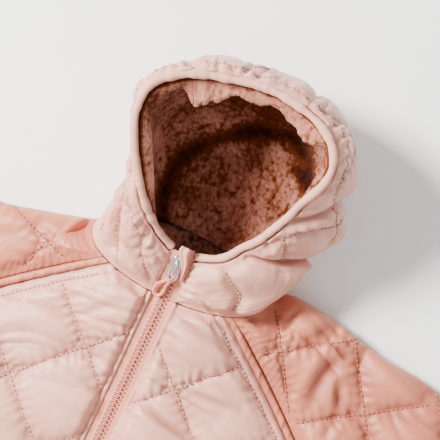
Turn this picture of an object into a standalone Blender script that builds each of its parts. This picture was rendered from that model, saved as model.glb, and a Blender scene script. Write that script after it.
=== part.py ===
"""A baby's reversible hooded jacket, zipped up and laid on its back with the hood standing open.

All sizes are millimetres until cloth_wall and the other makers turn them into metres.
x runs to the wearer's left, y up the garment from the front neck seam at the zip, and z up from
the table. The front layer lies on the back layer; near the neck it is lifted by the open hood.
"""

import math

import bmesh
import bpy
import numpy as np
from mathutils import Vector

MM = 0.001
SEAM_GAP = 0.3

# Walls: a quilted shell with wadding, backed by pile.
BACK_WALL = 11.0
SEAM_WALL = 4.0
STITCH_WALL = 6.5
PUFF_WALL = 13.0
EDGE_ROUND = 14.0
NAPE_THINNING = 6.0

# Body cut, as it lies.
ZIP_HALF = 8.0
UNDERARM = (165.0, -92.0)
HEM_HALF = 171.0
HEM_Y = -300.0
QUILT = 80.0
FRONT_QUILT = (-20.0, -88.0)

# Neck seam: an ellipse in plan that drops from the zip to the nape.
NECK_HALF_WIDTH = 66.0
NECK_HALF_DEPTH = 24.0
NECK_FRONT_Z = 36.0
NECK_BACK_Z = 2.0
NECK_WALL = 5.0
NAPE_FACING = 6.0
LIFT_REACH = 85.0
SHOULDER_GROOVE = 0.5
PIPING_HALF = 3.0
RAGLAN_ROWS = (
    0, 0.02, 0.05, 0.09, 0.14, 0.2, 0.27, 0.34, 0.42, 0.5, 0.58, 0.66, 0.74, 0.82, 0.9, 0.96, 1,
)
NECK_BLEND = 0.14
SLEEVE_BLEND = 0.5
ZIP_ANGLE = 7.2
RAGLAN_ANGLE = 45.0
PIPING_ANGLE = 3.6
BACK_RAGLAN_ANGLE = 130.0
BACK_SEAM_ANGLE = 0.2

# Hood walls.
SHELL_RIM_WALL = 2.0
SHELL_WALL = 3.2
SHELL_PUFF = 6.0
LINING_CLEARANCE = 1.4
LINING_RIM_WALL = 1.8
LINING_WALL = 4.5
BINDING_RADIUS = 2.6
HOOD_QUILT = 50.0
HOOD_SLANT = 0.68
HOOD_LINES = {"left": (22.0, 14.0), "centre": (30.0, -19.0), "right": (0.0, -48.0)}
CREASE_PRESS = 0.8

# Zip: the closed chain stands in for its teeth.
CHAIN_HALF = 2.9
COLLAR_SLOPE = 21.0 / 36.0
CHAIN_TOP_Y = 30.0
TAPE_TOP_Y = 34.0
SLIDER_X = -1.2
SLIDER_Y = (12.0, 28.5)
SLIDER_HALF = 4.6
PLATE_UNDER = 0.9
PLATE_TOP = 2.4
BRIDGE_Y = (16.0, 27.0)
BRIDGE_RISE = 3.0

# Cover over the zip's top: its free edge and its sewn edge, from the top down.
GARAGE_FREE = ((-2.8, 38.5), (-3.2, 34.0), (2.2, 26.0), (4.2, 20.5), (5.4, 16.0))
GARAGE_SEWN = ((6.6, 38.5), (7.1, 34.0), (7.2, 29.0), (7.2, 22.0), (7.2, 16.0))
GARAGE_UNDER = 3.6
GARAGE_TIP_UNDER = 1.2
GARAGE_SEWN_UNDER = -0.7
GARAGE_WALL = 1.6
GARAGE_CROWN = 2.0

# Pull: a cord through the slider's bridge, its two strands knotted above a moulded U grip.
# Rows of x, y and height above the fronts' edges.
CORD_RADIUS = 0.7
CORD_LEFT = ((0.9, 23.0, 3.9), (0.9, 20.5, 3.7), (0.9, 17.5, 3.6), (-0.3, 14.4, 3.9))
CORD_RIGHT = ((-3.3, 23.0, 3.9), (-3.3, 20.5, 3.7), (-3.3, 17.5, 3.6), (-2.3, 14.4, 3.9))
GRIP_RADIUS = 1.15
GRIP = (
    (-2.9, 12.2, 4.4), (-4.6, 10.9, 3.6), (-6.6, 8.9, 2.6), (-7.9, 6.3, 2.4), (-8.2, 3.6, 2.3),
    (-7.2, 1.3, 2.4), (-5.0, 0.3, 2.6), (-2.9, 1.2, 2.6), (-1.7, 3.4, 2.4), (-1.4, 6.2, 2.4),
    (-1.5, 9.2, 3.6), (-0.5, 11.8, 4.5),
)

# One row for each section of the hood, from the zip on the wearer's right over the head to the
# zip on the left: where it meets the neck seam in degrees, its rim, its widest point, and how
# far its foot is tucked under onto the table (0 not at all, 1 fully).
HOOD_COLUMNS = ("neck", "rim_x", "rim_y", "rim_z", "side_x", "side_y", "side_z", "tuck")
HOOD_SECTIONS = (
    (-7, -8, 34, 55.8, -8, 17, 45.9, 0.0),
    (-22, -19, 38.5, 65, -25, 21, 49, 0.0),
    (-42, -33, 48, 80, -45, 29, 50, 0.0),
    (-68, -47, 64, 94, -58, 42, 49, 0.0),
    (-105, -60, 85, 103, -57, 70, 52, 0.0),
    (-123, -67, 105, 108, -66, 98, 52, 1.0),
    (-138, -64, 126, 110, -69, 124, 53, 1.0),
    (-154, -43, 142, 108, -47, 154, 54, 1.0),
    (-166, -20, 149, 107, -24, 165, 53, 1.0),
    (-180, 4, 154, 107, 4, 170, 52, 1.0),
    (-206, 32, 151, 109, 36, 168, 54, 1.0),
    (-220, 50, 144, 110, 60, 157, 55, 1.0),
    (-230, 61, 133, 110, 76, 140, 54, 1.0),
    (-238, 65, 118, 107, 84, 118, 52, 1.0),
    (-256, 60, 98, 101, 85, 90, 50, 0.0),
    (-286, 49, 76, 90, 81, 61, 45, 0.0),
    (-310, 38, 54, 76, 65, 34, 45, 0.0),
    (-332, 24, 40, 64, 34, 21, 47, 0.0),
    (-353, 8, 34, 55.8, 8, 17, 45.9, 0.0),
)
LEFT_SEAM_ROW = 7
RIGHT_SEAM_ROW = 10
HOOD_CENTRE = (4.0, 86.0)
HOOD_GRID = (109, 41)
HOOD_EVENING = 20
HEEL_Z = 16.0
LINING_SHORT = 3.0

# Stretches of the rim that the elastic gathers: first and last section, gathers, depth.
GATHER_COLUMNS = ("start", "end", "count", "depth")
GATHERS = (
    (0.6, 2.6, 6, 2.0),
    (4.4, 9.4, 18, 3.4),
    (9.4, 13.6, 9, 4.0),
)
GATHER_REACH = 16.0
FINE_STRETCHES = ((2.6, 5.5), (12.5, 16.0))

# Creases of the hood: from and to in plan, half width and depth.
CREASE_COLUMNS = ("x0", "y0", "x1", "y1", "width", "depth")
CREASES = (
    (36, 49, 60, 56, 6.0, 3.5),
    (60, 56, 88, 74, 6.5, 3.5),
    (74, 106, 92, 122, 6.0, 3.0),
    (58, 92, 74, 106, 6.0, 2.5),
    (-56, 62, -46, 18, 6.0, 2.5),
    (-64, 52, -58, 22, 5.0, 2.0),
)

# Sleeves: how each lies, its width, where its fold meets the neck, its grain and its fold in plan.
SLEEVES = {
    "left": {
        "side": 1,
        "lie": 20.0,
        "bicep": 115.0,
        "crown": 108.0,
        "grain": 12.0,
        "fold": ((84, 38.5), (119, 34), (150, 27)),
    },
    "right": {
        "side": -1,
        "lie": 38.0,
        "bicep": 108.0,
        "crown": 100.0,
        "grain": 27.0,
        "fold": ((80, 24), (119, 13), (158, 7)),
    },
}
SLEEVE_UNDERARM = 190.0
CUFF = 92.0
SLEEVE_QUILT = 73.0
SLEEVE_CROSSING = (89.0, 1.0)
FOLD_RADIUS = 15.0
NECK_FOLD_RADIUS = 8.0
FOLD_TURN = 8.0

PALE_PINK = (0.80, 0.53, 0.45)
SALMON = (0.74, 0.33, 0.24)
PILE = (0.34, 0.10, 0.05)
STEEL = (0.62, 0.64, 0.66)


def smooth(t):
    """0 below 0, 1 above 1, with an even slope between."""
    t = np.clip(t, 0.0, 1.0)
    return t * t * (3.0 - 2.0 * t)


def spline(points, t):
    """Catmull-Rom curve through points (n, d) at t from 0 to n - 1."""
    points = np.asarray(points, float)
    ends = 2 * points[[0, -1]] - points[[1, -2]]
    p = np.vstack([ends[:1], points, ends[1:]])
    t = np.clip(np.asarray(t, float), 0, len(points) - 1 - 1e-9)
    i = t.astype(int)
    f = (t - i)[:, None]
    a, b, c, d = p[i], p[i + 1], p[i + 2], p[i + 3]
    return 0.5 * (2 * b + (c - a) * f + (2 * a - 5 * b + 4 * c - d) * f**2 + (3 * b - a - 3 * c + d) * f**3)


def pillow(a, b):
    """Loft of a quilted cell: 0 on its stitch lines, 1 at its middle. a and b count the lines."""
    return np.sqrt(np.abs(np.sin(math.pi * a) * np.sin(math.pi * b)))


def grid_normals(points):
    """Unit normals of a grid of points (m, n, 3)."""
    normal = np.cross(np.gradient(points, axis=0), np.gradient(points, axis=1))
    return normal / np.linalg.norm(normal, axis=2, keepdims=True)


# Makers


def material(name, colour, roughness, metallic=0.0):
    made = bpy.data.materials.new(name)
    made.use_nodes = True
    shader = made.node_tree.nodes["Principled BSDF"]
    shader.inputs["Base Color"].default_value = (*colour, 1.0)
    shader.inputs["Roughness"].default_value = roughness
    shader.inputs["Metallic"].default_value = metallic
    return made


def finish(obj, coat, collection):
    """Gives an object its material and collection, and shades it smooth."""
    obj.data.materials.append(coat)
    for old in list(obj.users_collection):
        old.objects.unlink(obj)
    collection.objects.link(obj)
    if obj.type == "MESH":
        obj.data.shade_smooth()
        obj.data.set_sharp_from_angle(angle=math.radians(40))
    return obj


def cloth_wall(name, outer, inner, coat, collection):
    """A closed wall between two grids of points of one shape: a flat grid pulled out and laid on them."""
    columns, rows = outer.shape[0] - 1, outer.shape[1] - 1
    bm = bmesh.new()
    bmesh.ops.create_grid(bm, x_segments=columns, y_segments=rows, size=0.5)
    pulled = bmesh.ops.extrude_face_region(bm, geom=bm.faces[:], use_keep_orig=True)
    far = {v for v in pulled["geom"] if isinstance(v, bmesh.types.BMVert)}
    for v in bm.verts:
        column = round((v.co.x + 0.5) * columns)
        row = round((v.co.y + 0.5) * rows)
        v.co = Vector((inner if v in far else outer)[column, row]) * MM
    bmesh.ops.recalc_face_normals(bm, faces=bm.faces[:])
    level = [f for f in bm.faces if abs(f.normal.z) > 0.999999]
    edges = list({e for f in level for e in f.edges})
    bmesh.ops.dissolve_limit(bm, angle_limit=0.0005, verts=[], edges=edges)
    if bm.calc_volume(signed=True) < 0:
        bmesh.ops.reverse_faces(bm, faces=bm.faces[:])
    mesh = bpy.data.meshes.new(name)
    bm.to_mesh(mesh)
    bm.free()
    return finish(bpy.data.objects.new(name, mesh), coat, collection)


def tube(name, points, radius, coat, collection):
    """A round cord through points."""
    data = bpy.data.curves.new(name, "CURVE")
    data.dimensions = "3D"
    run = data.splines.new("POLY")
    run.points.add(len(points) - 1)
    for knot, place in zip(run.points, points):
        knot.co = (*(Vector(place) * MM), 1.0)
    data.bevel_depth = radius * MM
    data.bevel_resolution = 2
    data.use_fill_caps = True
    return finish(bpy.data.objects.new(name, data), coat, collection)


# Neck seam


def neck_z(angle):
    half = 0.5 * (1.0 + np.cos(np.radians(angle)))
    return NECK_BACK_Z + (NECK_FRONT_Z - NECK_BACK_Z) * smooth(half)


def neck(angle, inward=0.0):
    """Points of the neck seam's outer edge, or that far inside the wall."""
    turn = np.radians(np.asarray(angle, float))
    across, up = np.sin(turn), np.cos(turn)
    facing_x, facing_y = across, NAPE_FACING * np.maximum(-up, 0.0)
    facing = inward * across**2 / np.maximum(np.hypot(facing_x, facing_y), 1e-6)
    x = NECK_HALF_WIDTH * across - facing * facing_x
    y = NECK_HALF_DEPTH * (1.0 - up) - facing * facing_y
    return np.stack([x, y, neck_z(angle) - inward * up], axis=-1)


def neck_ring(x, y):
    """Angle of a plan point round the neck's middle, and its distance outside the seam."""
    dy = y - NECK_HALF_DEPTH
    angle = np.degrees(np.arctan2(np.abs(x) / NECK_HALF_WIDTH, -dy / NECK_HALF_DEPTH))
    ring = np.maximum(np.hypot(x / NECK_HALF_WIDTH, dy / NECK_HALF_DEPTH), 1.0)
    return angle, np.hypot(x, dy) * (1.0 - 1.0 / ring)


def back_inner_z(x, y):
    """Upper face of the back layer, pressed thinner round the sides and back of the neck."""
    angle, away = neck_ring(x, y)
    return BACK_WALL - NAPE_THINNING * (1.0 - smooth(away / 30.0)) * smooth((angle - 60.0) / 30.0)


def front_inner_z(x, y):
    """Underside of the front layer: flat on the back layer, lifted towards the open neck."""
    angle, away = neck_ring(x, y)
    rest = back_inner_z(x, y) + SEAM_GAP
    lift = np.maximum(neck_z(angle) - NECK_WALL - rest, 0.0)
    groove = smooth(away / 5.0) * (1.0 - smooth((away - 8.0) / 30.0)) * smooth((angle - 52.0) / 20.0)
    return rest + lift * (1.0 - smooth(away / LIFT_REACH)) * (1.0 - SHOULDER_GROOVE * groove)


def raglan(t, side_shift=0.0, back=False):
    """Plan points of the seam from the neck to the underarm, moved across it towards the sleeve."""
    top = neck(BACK_RAGLAN_ANGLE if back else RAGLAN_ANGLE)[:2]
    line = np.array(UNDERARM) - top
    across = np.array([-line[1], line[0]]) / np.hypot(*line)
    bow = 2.5 * np.sin(math.pi * t)
    return top + line * t[..., None] + across * (side_shift + bow)[..., None]


# Body panels


def panel_rows(share, below):
    """Rows down a panel: those of the raglan seam, then as many again below the underarm."""
    return np.concatenate([np.array(RAGLAN_ROWS) * share, np.linspace(share, 1, below + 1)[1:]])


def front_grid(side, columns=15, below=12):
    """Plan and height of a front panel's two faces. The top row is the neck seam."""
    u = np.linspace(0, 1, columns)[:, None]
    drop = (UNDERARM[1] - HEM_Y) / (0.0 - HEM_Y)
    share = 1.0 - drop
    v = panel_rows(share, below)[None, :]
    seam = raglan(np.clip(v / share, 0, 1), -PIPING_HALF - SEAM_GAP + 0 * v)
    down = np.clip((v - share) / drop, 0, 1)
    out_x = np.where(v < share, seam[..., 0], UNDERARM[0] - 2 + (HEM_HALF - UNDERARM[0] + 2) * down)
    out_y = np.where(v < share, seam[..., 1], seam[..., 1] + (HEM_Y - UNDERARM[1] + 2) * down)
    in_y = HEM_Y * v
    x = ZIP_HALF + (out_x - ZIP_HALF) * u
    y = in_y + (out_y - in_y) * u
    edge = np.minimum.reduce([
        (x - ZIP_HALF) / 9.0 + 0 * v,
        (out_x - x) * np.where(v < share, 0.65, 1.0) / EDGE_ROUND,
        neck_ring(x, y)[1] / 9.0,
        (y - HEM_Y) / 10.0,
    ])
    puff = pillow((x + y - FRONT_QUILT[0]) / QUILT, (y - x - FRONT_QUILT[1]) / QUILT)
    wall = SEAM_WALL + smooth(edge) * (
        STITCH_WALL - SEAM_WALL + (PUFF_WALL - STITCH_WALL) * puff
    )
    low = front_inner_z(x, y)
    outer = np.stack([x, y, low + wall], axis=-1)
    inner = np.stack([x, y, low], axis=-1)
    angles = ZIP_ANGLE + (RAGLAN_ANGLE - PIPING_ANGLE - ZIP_ANGLE) * u[:, 0]
    blend = (1.0 - smooth(v / share / NECK_BLEND))[..., None]
    top_outer = neck(angles)[:, None]
    top_inner = neck(angles, NECK_WALL)[:, None]
    outer = outer + (top_outer - outer[:, :1]) * blend
    inner = inner + (top_inner - inner[:, :1]) * blend
    for face in (outer, inner):
        face[..., 0] *= side
    return outer, inner


def back_grid(columns=15, below=4):
    """The back panel: flat on the table, with its rounded sides and its neck seam."""
    u = np.linspace(-1, 1, columns)[:, None]
    share = 0.4
    v = panel_rows(share, below)[None, :]
    seam = raglan(np.clip(v / share, 0, 1), -SEAM_GAP / 2 + 0 * v, back=True)
    down = np.clip((v - share) / (1 - share), 0, 1)
    half = np.where(v < share, seam[..., 0], UNDERARM[0] - 2 + (HEM_HALF - UNDERARM[0] + 2) * down)
    side_y = np.where(v < share, seam[..., 1], seam[..., 1] + (HEM_Y - UNDERARM[1]) * down)
    nape_y = 2 * NECK_HALF_DEPTH
    mid_y = nape_y + (HEM_Y - nape_y) * v
    spread = np.abs(u) ** 1.2
    x = half * u
    y = mid_y + (side_y - mid_y) * spread
    edge = np.minimum(
        (half - np.abs(x)) * np.where(v < share, 0.75, 1.0) / EDGE_ROUND,
        (y - HEM_Y) / 12.0,
    )
    neck_edge = smooth(v / share * 2.0)
    low = (BACK_WALL - SEAM_WALL) * (1.0 - smooth(edge)) * neck_edge
    start = BACK_RAGLAN_ANGLE + BACK_SEAM_ANGLE
    angles = start + (180 - start) * (1 - np.abs(u[:, 0]))
    outer = np.stack([x, y, low], axis=-1)
    inner = np.stack([x, y, back_inner_z(x, y)], axis=-1)
    blend = (1.0 - smooth(v / share / NECK_BLEND))[..., None]
    mirror = np.stack([np.sign(u[:, 0]), 1 + 0 * u[:, 0], 1 + 0 * u[:, 0]], axis=-1)[:, None]
    outer = outer + (neck(angles)[:, None] * mirror - outer[:, :1]) * blend
    inner = inner + (neck(angles, NECK_WALL)[:, None] * mirror - inner[:, :1]) * blend
    return outer, inner


def piping_grid(side, columns=5):
    """The strip let into a front raglan seam, crowned across."""
    u = np.linspace(-1, 1, columns)[:, None]
    v = np.array(RAGLAN_ROWS)[None, :]
    plan = raglan(v + 0 * u, u * PIPING_HALF + 0 * v)
    x, y = plan[..., 0], plan[..., 1]
    low = front_inner_z(x, y)
    crown = SEAM_WALL + 1.6 - 1.2 * u**2 + 0 * v
    outer = np.stack([x, y, low + crown], axis=-1)
    inner = np.stack([x, y, low], axis=-1)
    angles = RAGLAN_ANGLE + (PIPING_ANGLE - 0.5) * u[:, 0]
    blend = (1.0 - smooth(v / NECK_BLEND))[..., None]
    outer = outer + (neck(angles)[:, None] - outer[:, :1]) * blend
    inner = inner + (neck(angles, NECK_WALL)[:, None] - inner[:, :1]) * blend
    for face in (outer, inner):
        face[..., 0] *= side
    return outer, inner


# Sleeves


def sleeve_lines(sleeve, v, share):
    """Plan lines of a sleeve along v: front edge, overarm fold and back edge."""
    lie = math.radians(sleeve["lie"])
    along = np.array([math.cos(lie), -math.sin(lie)])
    across = np.array([math.sin(lie), math.cos(lie)])
    pit = raglan(np.array([1.0]), np.array([PIPING_HALF + SEAM_GAP]))[0]
    back_pit = raglan(np.array([1.0]), np.array([SEAM_GAP / 2]), back=True)[0]
    cuff_low = pit + along * SLEEVE_UNDERARM
    cuff_high = cuff_low + across * CUFF
    bicep = pit + across * sleeve["bicep"]
    fold_top = neck(sleeve["crown"])[:2]
    knots = np.array([fold_top, *sleeve["fold"], bicep, (bicep * 0.5 + cuff_high * 0.5), cuff_high])
    inner_stops = np.linspace(0.32, 0.8, len(sleeve["fold"])) * share
    stops = np.array([0, *inner_stops, share * 1.02, (1 + share) / 2, 1])
    fold = spline(knots, np.interp(v, stops, np.arange(len(knots))))
    up = np.clip(v / share, 0, 1)
    down = np.clip((v - share) / (1 - share), 0, 1)[:, None]
    front = raglan(up, PIPING_HALF + SEAM_GAP + 0 * up)
    back = raglan(up, SEAM_GAP / 2 + 0 * up, back=True)
    low = pit + (cuff_low - pit) * down
    low_back = back_pit + (cuff_low - back_pit) * down
    beyond = (v > share)[:, None]
    return np.where(beyond, low, front), fold, np.where(beyond, low_back, back)


def sleeve_grid(sleeve, top=9, turn=5, under=3, below=10):
    """A sleeve's two faces: across the front layer, round the overarm fold, and back underneath."""
    share = 0.46
    v = panel_rows(share, below)
    front, fold, back = sleeve_lines(sleeve, v, share)
    out = fold - 0.5 * (front + back)
    out = out / np.linalg.norm(out, axis=1, keepdims=True)
    near_neck = 1.0 - smooth(v / share / 0.4)
    radius = (FOLD_RADIUS - (FOLD_RADIUS - NECK_FOLD_RADIUS) * near_neck)[:, None]
    tight_radius = np.maximum(radius - BACK_WALL, 1.5)
    inward = (back - fold) * 0.45 * near_neck[:, None] - out * radius * (1.0 - near_neck[:, None])
    centre = fold + inward
    a = np.linspace(0, 1, top)[:, None, None]
    b = np.linspace(0, 1, under)[1:, None, None]
    swing = np.radians(np.linspace(90, -90, turn + 2)[1:-1])[:, None, None]
    over = front + (centre - front) * a
    below_fold = centre + (back - centre) * b
    bend = centre - inward * np.cos(swing)
    tight = centre - inward * (tight_radius / radius) * np.cos(swing)
    plan_out = np.concatenate([over, bend, centre[None], below_fold])
    plan_in = np.concatenate([over, tight, centre[None], below_fold])

    start, end = RAGLAN_ANGLE + PIPING_ANGLE, BACK_RAGLAN_ANGLE - BACK_SEAM_ANGLE
    before, after = sleeve["crown"] - FOLD_TURN, sleeve["crown"] + FOLD_TURN
    angles = np.concatenate([
        np.linspace(start, before, top),
        np.linspace(before, after, turn + 2)[1:-1],
        np.linspace(after, end, under),
    ])
    neck_out, neck_in = neck(angles)[:, None], neck(angles, NECK_WALL)[:, None]
    far_blend = (1.0 - smooth(v / share / SLEEVE_BLEND))[None, :, None]
    near_blend = (1.0 - smooth(v / share / NECK_BLEND))[None, :, None]
    column = np.arange(len(angles))[:, None, None]
    inside = smooth(np.minimum(column, len(angles) - 1 - column) / 4.0)
    shift = (neck_out[..., :2] - plan_out[:, :1]) * (near_blend + (far_blend - near_blend) * inside)
    depth = (plan_in - plan_out) * (1.0 - near_blend) + (neck_in - neck_out)[..., :2] * near_blend
    plan_out = plan_out + shift
    plan_in = plan_out + depth

    x, y = plan_out[..., 0], plan_out[..., 1]
    grain = math.radians(sleeve["grain"])
    dx, dy = x - SLEEVE_CROSSING[0], y - SLEEVE_CROSSING[1]
    p = dx * math.cos(grain) - dy * math.sin(grain)
    q = dx * math.sin(grain) + dy * math.cos(grain)
    puff = pillow((p + q) / SLEEVE_QUILT, (p - q) / SLEEVE_QUILT)
    from_front = np.linalg.norm(plan_out - front, axis=2)
    from_neck = neck_ring(x, y)[1]
    to_cuff = (1.0 - v) * SLEEVE_UNDERARM / (1.0 - share)
    edge = smooth(np.minimum.reduce([from_front / EDGE_ROUND, from_neck / 30.0, to_cuff / 10.0 + 0 * x]))
    wall = SEAM_WALL + edge * (STITCH_WALL - SEAM_WALL + (PUFF_WALL - STITCH_WALL) * puff)
    low = front_inner_z(x, y)
    top_z = low + wall
    from_back = np.linalg.norm(plan_out - back, axis=2)
    seam = smooth(np.minimum(from_back / EDGE_ROUND, to_cuff / 10.0 + 0 * x))
    back_z = back_inner_z(x, y)
    under_z = (back_z - SEAM_WALL) * (1.0 - seam)

    rise = np.concatenate([np.ones(top), np.sin(swing[:, 0, 0]), -np.ones(under)])[:, None]
    share_up = 0.5 * (1.0 + rise)
    at_fold, under_fold = top_z[top - 1], under_z[top + turn]
    z_out = np.where(rise >= 1, top_z, under_fold + (at_fold - under_fold) * share_up)
    z_out = np.where(rise <= -1, under_z, z_out)
    z_in = np.where(rise >= 1, low, back_z + (low[top - 1] - back_z) * share_up)
    outer = np.stack([x, y, z_out], axis=-1)
    inner = np.stack([plan_in[..., 0], plan_in[..., 1], z_in], axis=-1)

    outer[..., 2:] += (neck_out[..., 2:] - outer[:, :1, 2:]) * near_blend
    inner[..., 2:] += (neck_in[..., 2:] - inner[:, :1, 2:]) * near_blend
    for face in (outer, inner):
        face[..., 0] *= sleeve["side"]
    return outer, inner


# Hood


def hood_controls(u):
    """Seven guide points down each section u of the hood, from the rim to the neck seam."""
    rows = np.array(HOOD_SECTIONS, float)
    at = spline(rows, u)
    column = {name: at[:, i] for i, name in enumerate(HOOD_COLUMNS)}
    rim = np.stack([column["rim_x"], column["rim_y"], column["rim_z"]], axis=-1)
    side = np.stack([column["side_x"], column["side_y"], column["side_z"]], axis=-1)
    tuck = np.clip(column["tuck"], 0, 1)[:, None]
    end = neck(column["neck"])
    out = side - np.array([*HOOD_CENTRE, 0.0])
    fall = end - side
    level = fall * np.array([1.0, 1.0, 0.0])
    level = level / np.linalg.norm(level, axis=1, keepdims=True)
    out[:, 2] = 0.0
    out = out / np.linalg.norm(out, axis=1, keepdims=True)
    up = np.array([0.0, 0.0, 1.0])
    swell = smooth(np.minimum(u, len(rows) - 1 - u))[:, None]
    crest = rim + (side - rim) * 0.45 + out * 6.0 * tuck + up * (1 - tuck) * swell
    shoulder = [side + fall * f + up * lift * swell for f, lift in ((0.28, 2.0), (0.58, 3.0), (0.85, 1.2))]
    heel = side + level * 9.0 - out * 4.0 * tuck
    heel[:, 2] = HEEL_Z
    foot = side + level * 32.0 - out * 7.0 * tuck
    foot[:, 2] = 0.0
    floor = end + (foot - end) * 0.45
    floor[:, 2] = 0.0
    lower = [near + (far - near) * tuck for near, far in zip(shoulder, (heel, foot, floor))]
    return np.stack([rim, crest, side, *lower, end], axis=1)


def hood_base():
    """The hood's surface before its loft, an even grid of sections by rows, and each section's run."""
    u = np.linspace(0, len(HOOD_SECTIONS) - 1, HOOD_GRID[0])
    controls = hood_controls(u)
    fine = np.linspace(0, controls.shape[1] - 1, 121)
    points, runs = [], []
    for guide in controls:
        line = spline(guide, fine)
        line[:, 2] = np.maximum(line[:, 2], 0.0)
        run = np.concatenate([[0], np.cumsum(np.linalg.norm(np.diff(line, axis=0), axis=1))])
        at = np.linspace(0, run[-1], HOOD_GRID[1])
        points.append(np.stack([np.interp(at, run, line[:, k]) for k in range(3)], axis=-1))
        runs.append(at)
    points = np.array(points)
    for _ in range(HOOD_EVENING):
        even = points.copy()
        even[1:-1, 1:-1] += 0.2 * (points[2:, 1:-1] + points[:-2, 1:-1] - 2 * points[1:-1, 1:-1])
        even[1:-1, 1:-1] += 0.2 * (points[1:-1, 2:] + points[1:-1, :-2] - 2 * points[1:-1, 1:-1])
        points = even
    return points - grid_normals(points) * crease_depth(points)[..., None], np.array(runs)


def grown_in(points, depth, steps=8):
    """A surface moved inwards, evened a little at each step so that it cannot fold in a hollow."""
    for _ in range(steps):
        points = points - grid_normals(points) * (depth / steps)
        even = points.copy()
        even[1:-1] += 0.3 * (points[2:] + points[:-2] - 2 * points[1:-1])
        even[:, 1:-1] += 0.3 * (points[:, 2:] + points[:, :-2] - 2 * points[:, 1:-1])
        points = even
    return points


def sample(grid, u, row_at):
    """Points of an even grid at sections u and at row positions row_at (one list for each u)."""
    at = np.asarray(u) / (len(HOOD_SECTIONS) - 1) * (HOOD_GRID[0] - 1)
    columns = spline(grid.reshape(grid.shape[0], -1), at)
    columns = columns.reshape(len(u), *grid.shape[1:])
    return np.array([spline(column, at) for column, at in zip(columns, row_at)])


def hood_rows(u, starts, short, rows):
    """Row positions on the even grid from the binding to short mm above the neck seam, and the run at each."""
    even = np.linspace(0, len(HOOD_SECTIONS) - 1, HOOD_GRID[0])
    length = np.interp(u, even, HOOD_RUN[:, -1])[:, None]
    start = np.interp(u, even, starts)[:, None] / (HOOD_GRID[1] - 1) * length
    run = start + (length - start - short) * rows[None, :]
    return run / length * (HOOD_GRID[1] - 1), run, length


def clear_of_binding(surface):
    """Row position down each section of the even grid where a surface comes clear of the rim's binding."""
    line = rim_line(400)
    fine = np.linspace(0, 8, 81)
    starts = []
    for section in surface:
        away = np.linalg.norm(spline(section, fine)[:, None] - line[None], axis=2).min(axis=1)
        starts.append(fine[np.argmax(away > BINDING_RADIUS + 2 * SEAM_GAP)])
    return np.array(starts)


def gather_wave(u):
    """Height of the elastic's gathers along the rim, from 0 to their depth."""
    wave = np.zeros_like(u)
    for start, end, count, depth in GATHERS:
        within = (u >= start) & (u <= end)
        phase = (u - start) / (end - start) * count
        wave = np.where(within, 0.5 * depth * (1.0 - np.cos(2 * math.pi * phase)), wave)
    return wave


def gather_columns(first, last):
    """Sections to cut a panel into: two to each gather, and two to a row elsewhere."""
    cuts = {first, last}
    for start, end, count, _ in GATHERS:
        cuts |= {float(c) for c in np.linspace(start, end, 2 * count + 1)}
    for c in np.arange(first, last, 0.25):
        fine = any(start <= c <= end for start, end in FINE_STRETCHES)
        if not any(g[0] <= c <= g[1] for g in GATHERS) and (fine or c % 0.5 == 0):
            cuts.add(float(c))
    return np.array(sorted(c for c in cuts if first <= c <= last))


def crease_depth(points):
    """How far the creases pull the hood in at each point."""
    depth = np.zeros(points.shape[:2])
    for x0, y0, x1, y1, width, deep in CREASES:
        start, line = np.array([x0, y0]), np.array([x1 - x0, y1 - y0], float)
        offset = points[..., :2] - start
        along = np.clip(offset @ line / (line @ line), 0, 1)
        away = np.linalg.norm(offset - along[..., None] * line, axis=-1)
        depth = np.maximum(depth, deep * np.exp(-((away / width) ** 2)))
    return depth * smooth((points[..., 2] - 12.0) / 12.0)


def hood_panel(first, last, rows, lines):
    """Outer and inner faces of one panel of the quilted hood between two sections."""
    u = gather_columns(first, last)
    at, from_rim, length = hood_rows(u, SHELL_START, 3 * SEAM_GAP, rows)
    base = sample(HOOD_OUTER, u, at)
    inner = sample(HOOD_SHELL_IN, u, at)
    thin = (1.0 - smooth(np.minimum(from_rim, length - from_rim) / 12.0))[..., None]
    inner = inner + (base - inner) * thin * (1.0 - SHELL_RIM_WALL / SHELL_WALL)
    angle = spline(np.array(HOOD_SECTIONS, float)[:, :1], u)[:, 0]
    end_in = base[:, -1] + neck(angle, SHELL_RIM_WALL) - neck(angle)
    to_end = (1.0 - smooth((length - from_rim) / 8.0))[..., None]
    inner = inner + (end_in - inner[:, -1])[:, None] * to_end
    normal = sample(grid_normals(HOOD_OUTER), u, at)
    step = np.linalg.norm(np.diff(base, axis=0), axis=2)
    across = np.concatenate([np.zeros((1, base.shape[1])), np.cumsum(step, axis=0)])
    middle = across - 0.5 * across[-1]
    to_neck = length - from_rim
    edge = np.minimum.reduce([across / 10.0, (across[-1] - across) / 10.0, to_neck / 14.0, from_rim / 14.0])
    slant = HOOD_SLANT * from_rim
    puff = pillow((middle + slant - lines[0]) / HOOD_QUILT, (middle - slant - lines[1]) / HOOD_QUILT)
    pressed = 1.0 - CREASE_PRESS * np.minimum(crease_depth(base) / 3.0, 1.0)
    loft = SHELL_PUFF * smooth(edge) * (0.25 + 0.75 * puff) * pressed
    below_binding = from_rim - from_rim[:, :1]
    gathers = gather_wave(u)[:, None] * np.exp(-((from_rim / GATHER_REACH) ** 2)) * smooth(below_binding / 4.0)
    rest = smooth((base[..., 2] - 1.0) / 8.0)
    outer = base + normal * ((loft + gathers) * rest)[..., None]
    outer[..., 2] = np.maximum(outer[..., 2], 0.0)
    for face in (outer, inner):
        for row, sign in ((0, 1), (-1, -1)):
            slide = face[row + sign] - face[row]
            length_of = np.linalg.norm(slide, axis=1, keepdims=True)
            face[row] += slide / np.maximum(length_of, 1e-6) * np.minimum(SEAM_GAP / 2, 0.3 * length_of)
    return outer, inner


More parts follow.
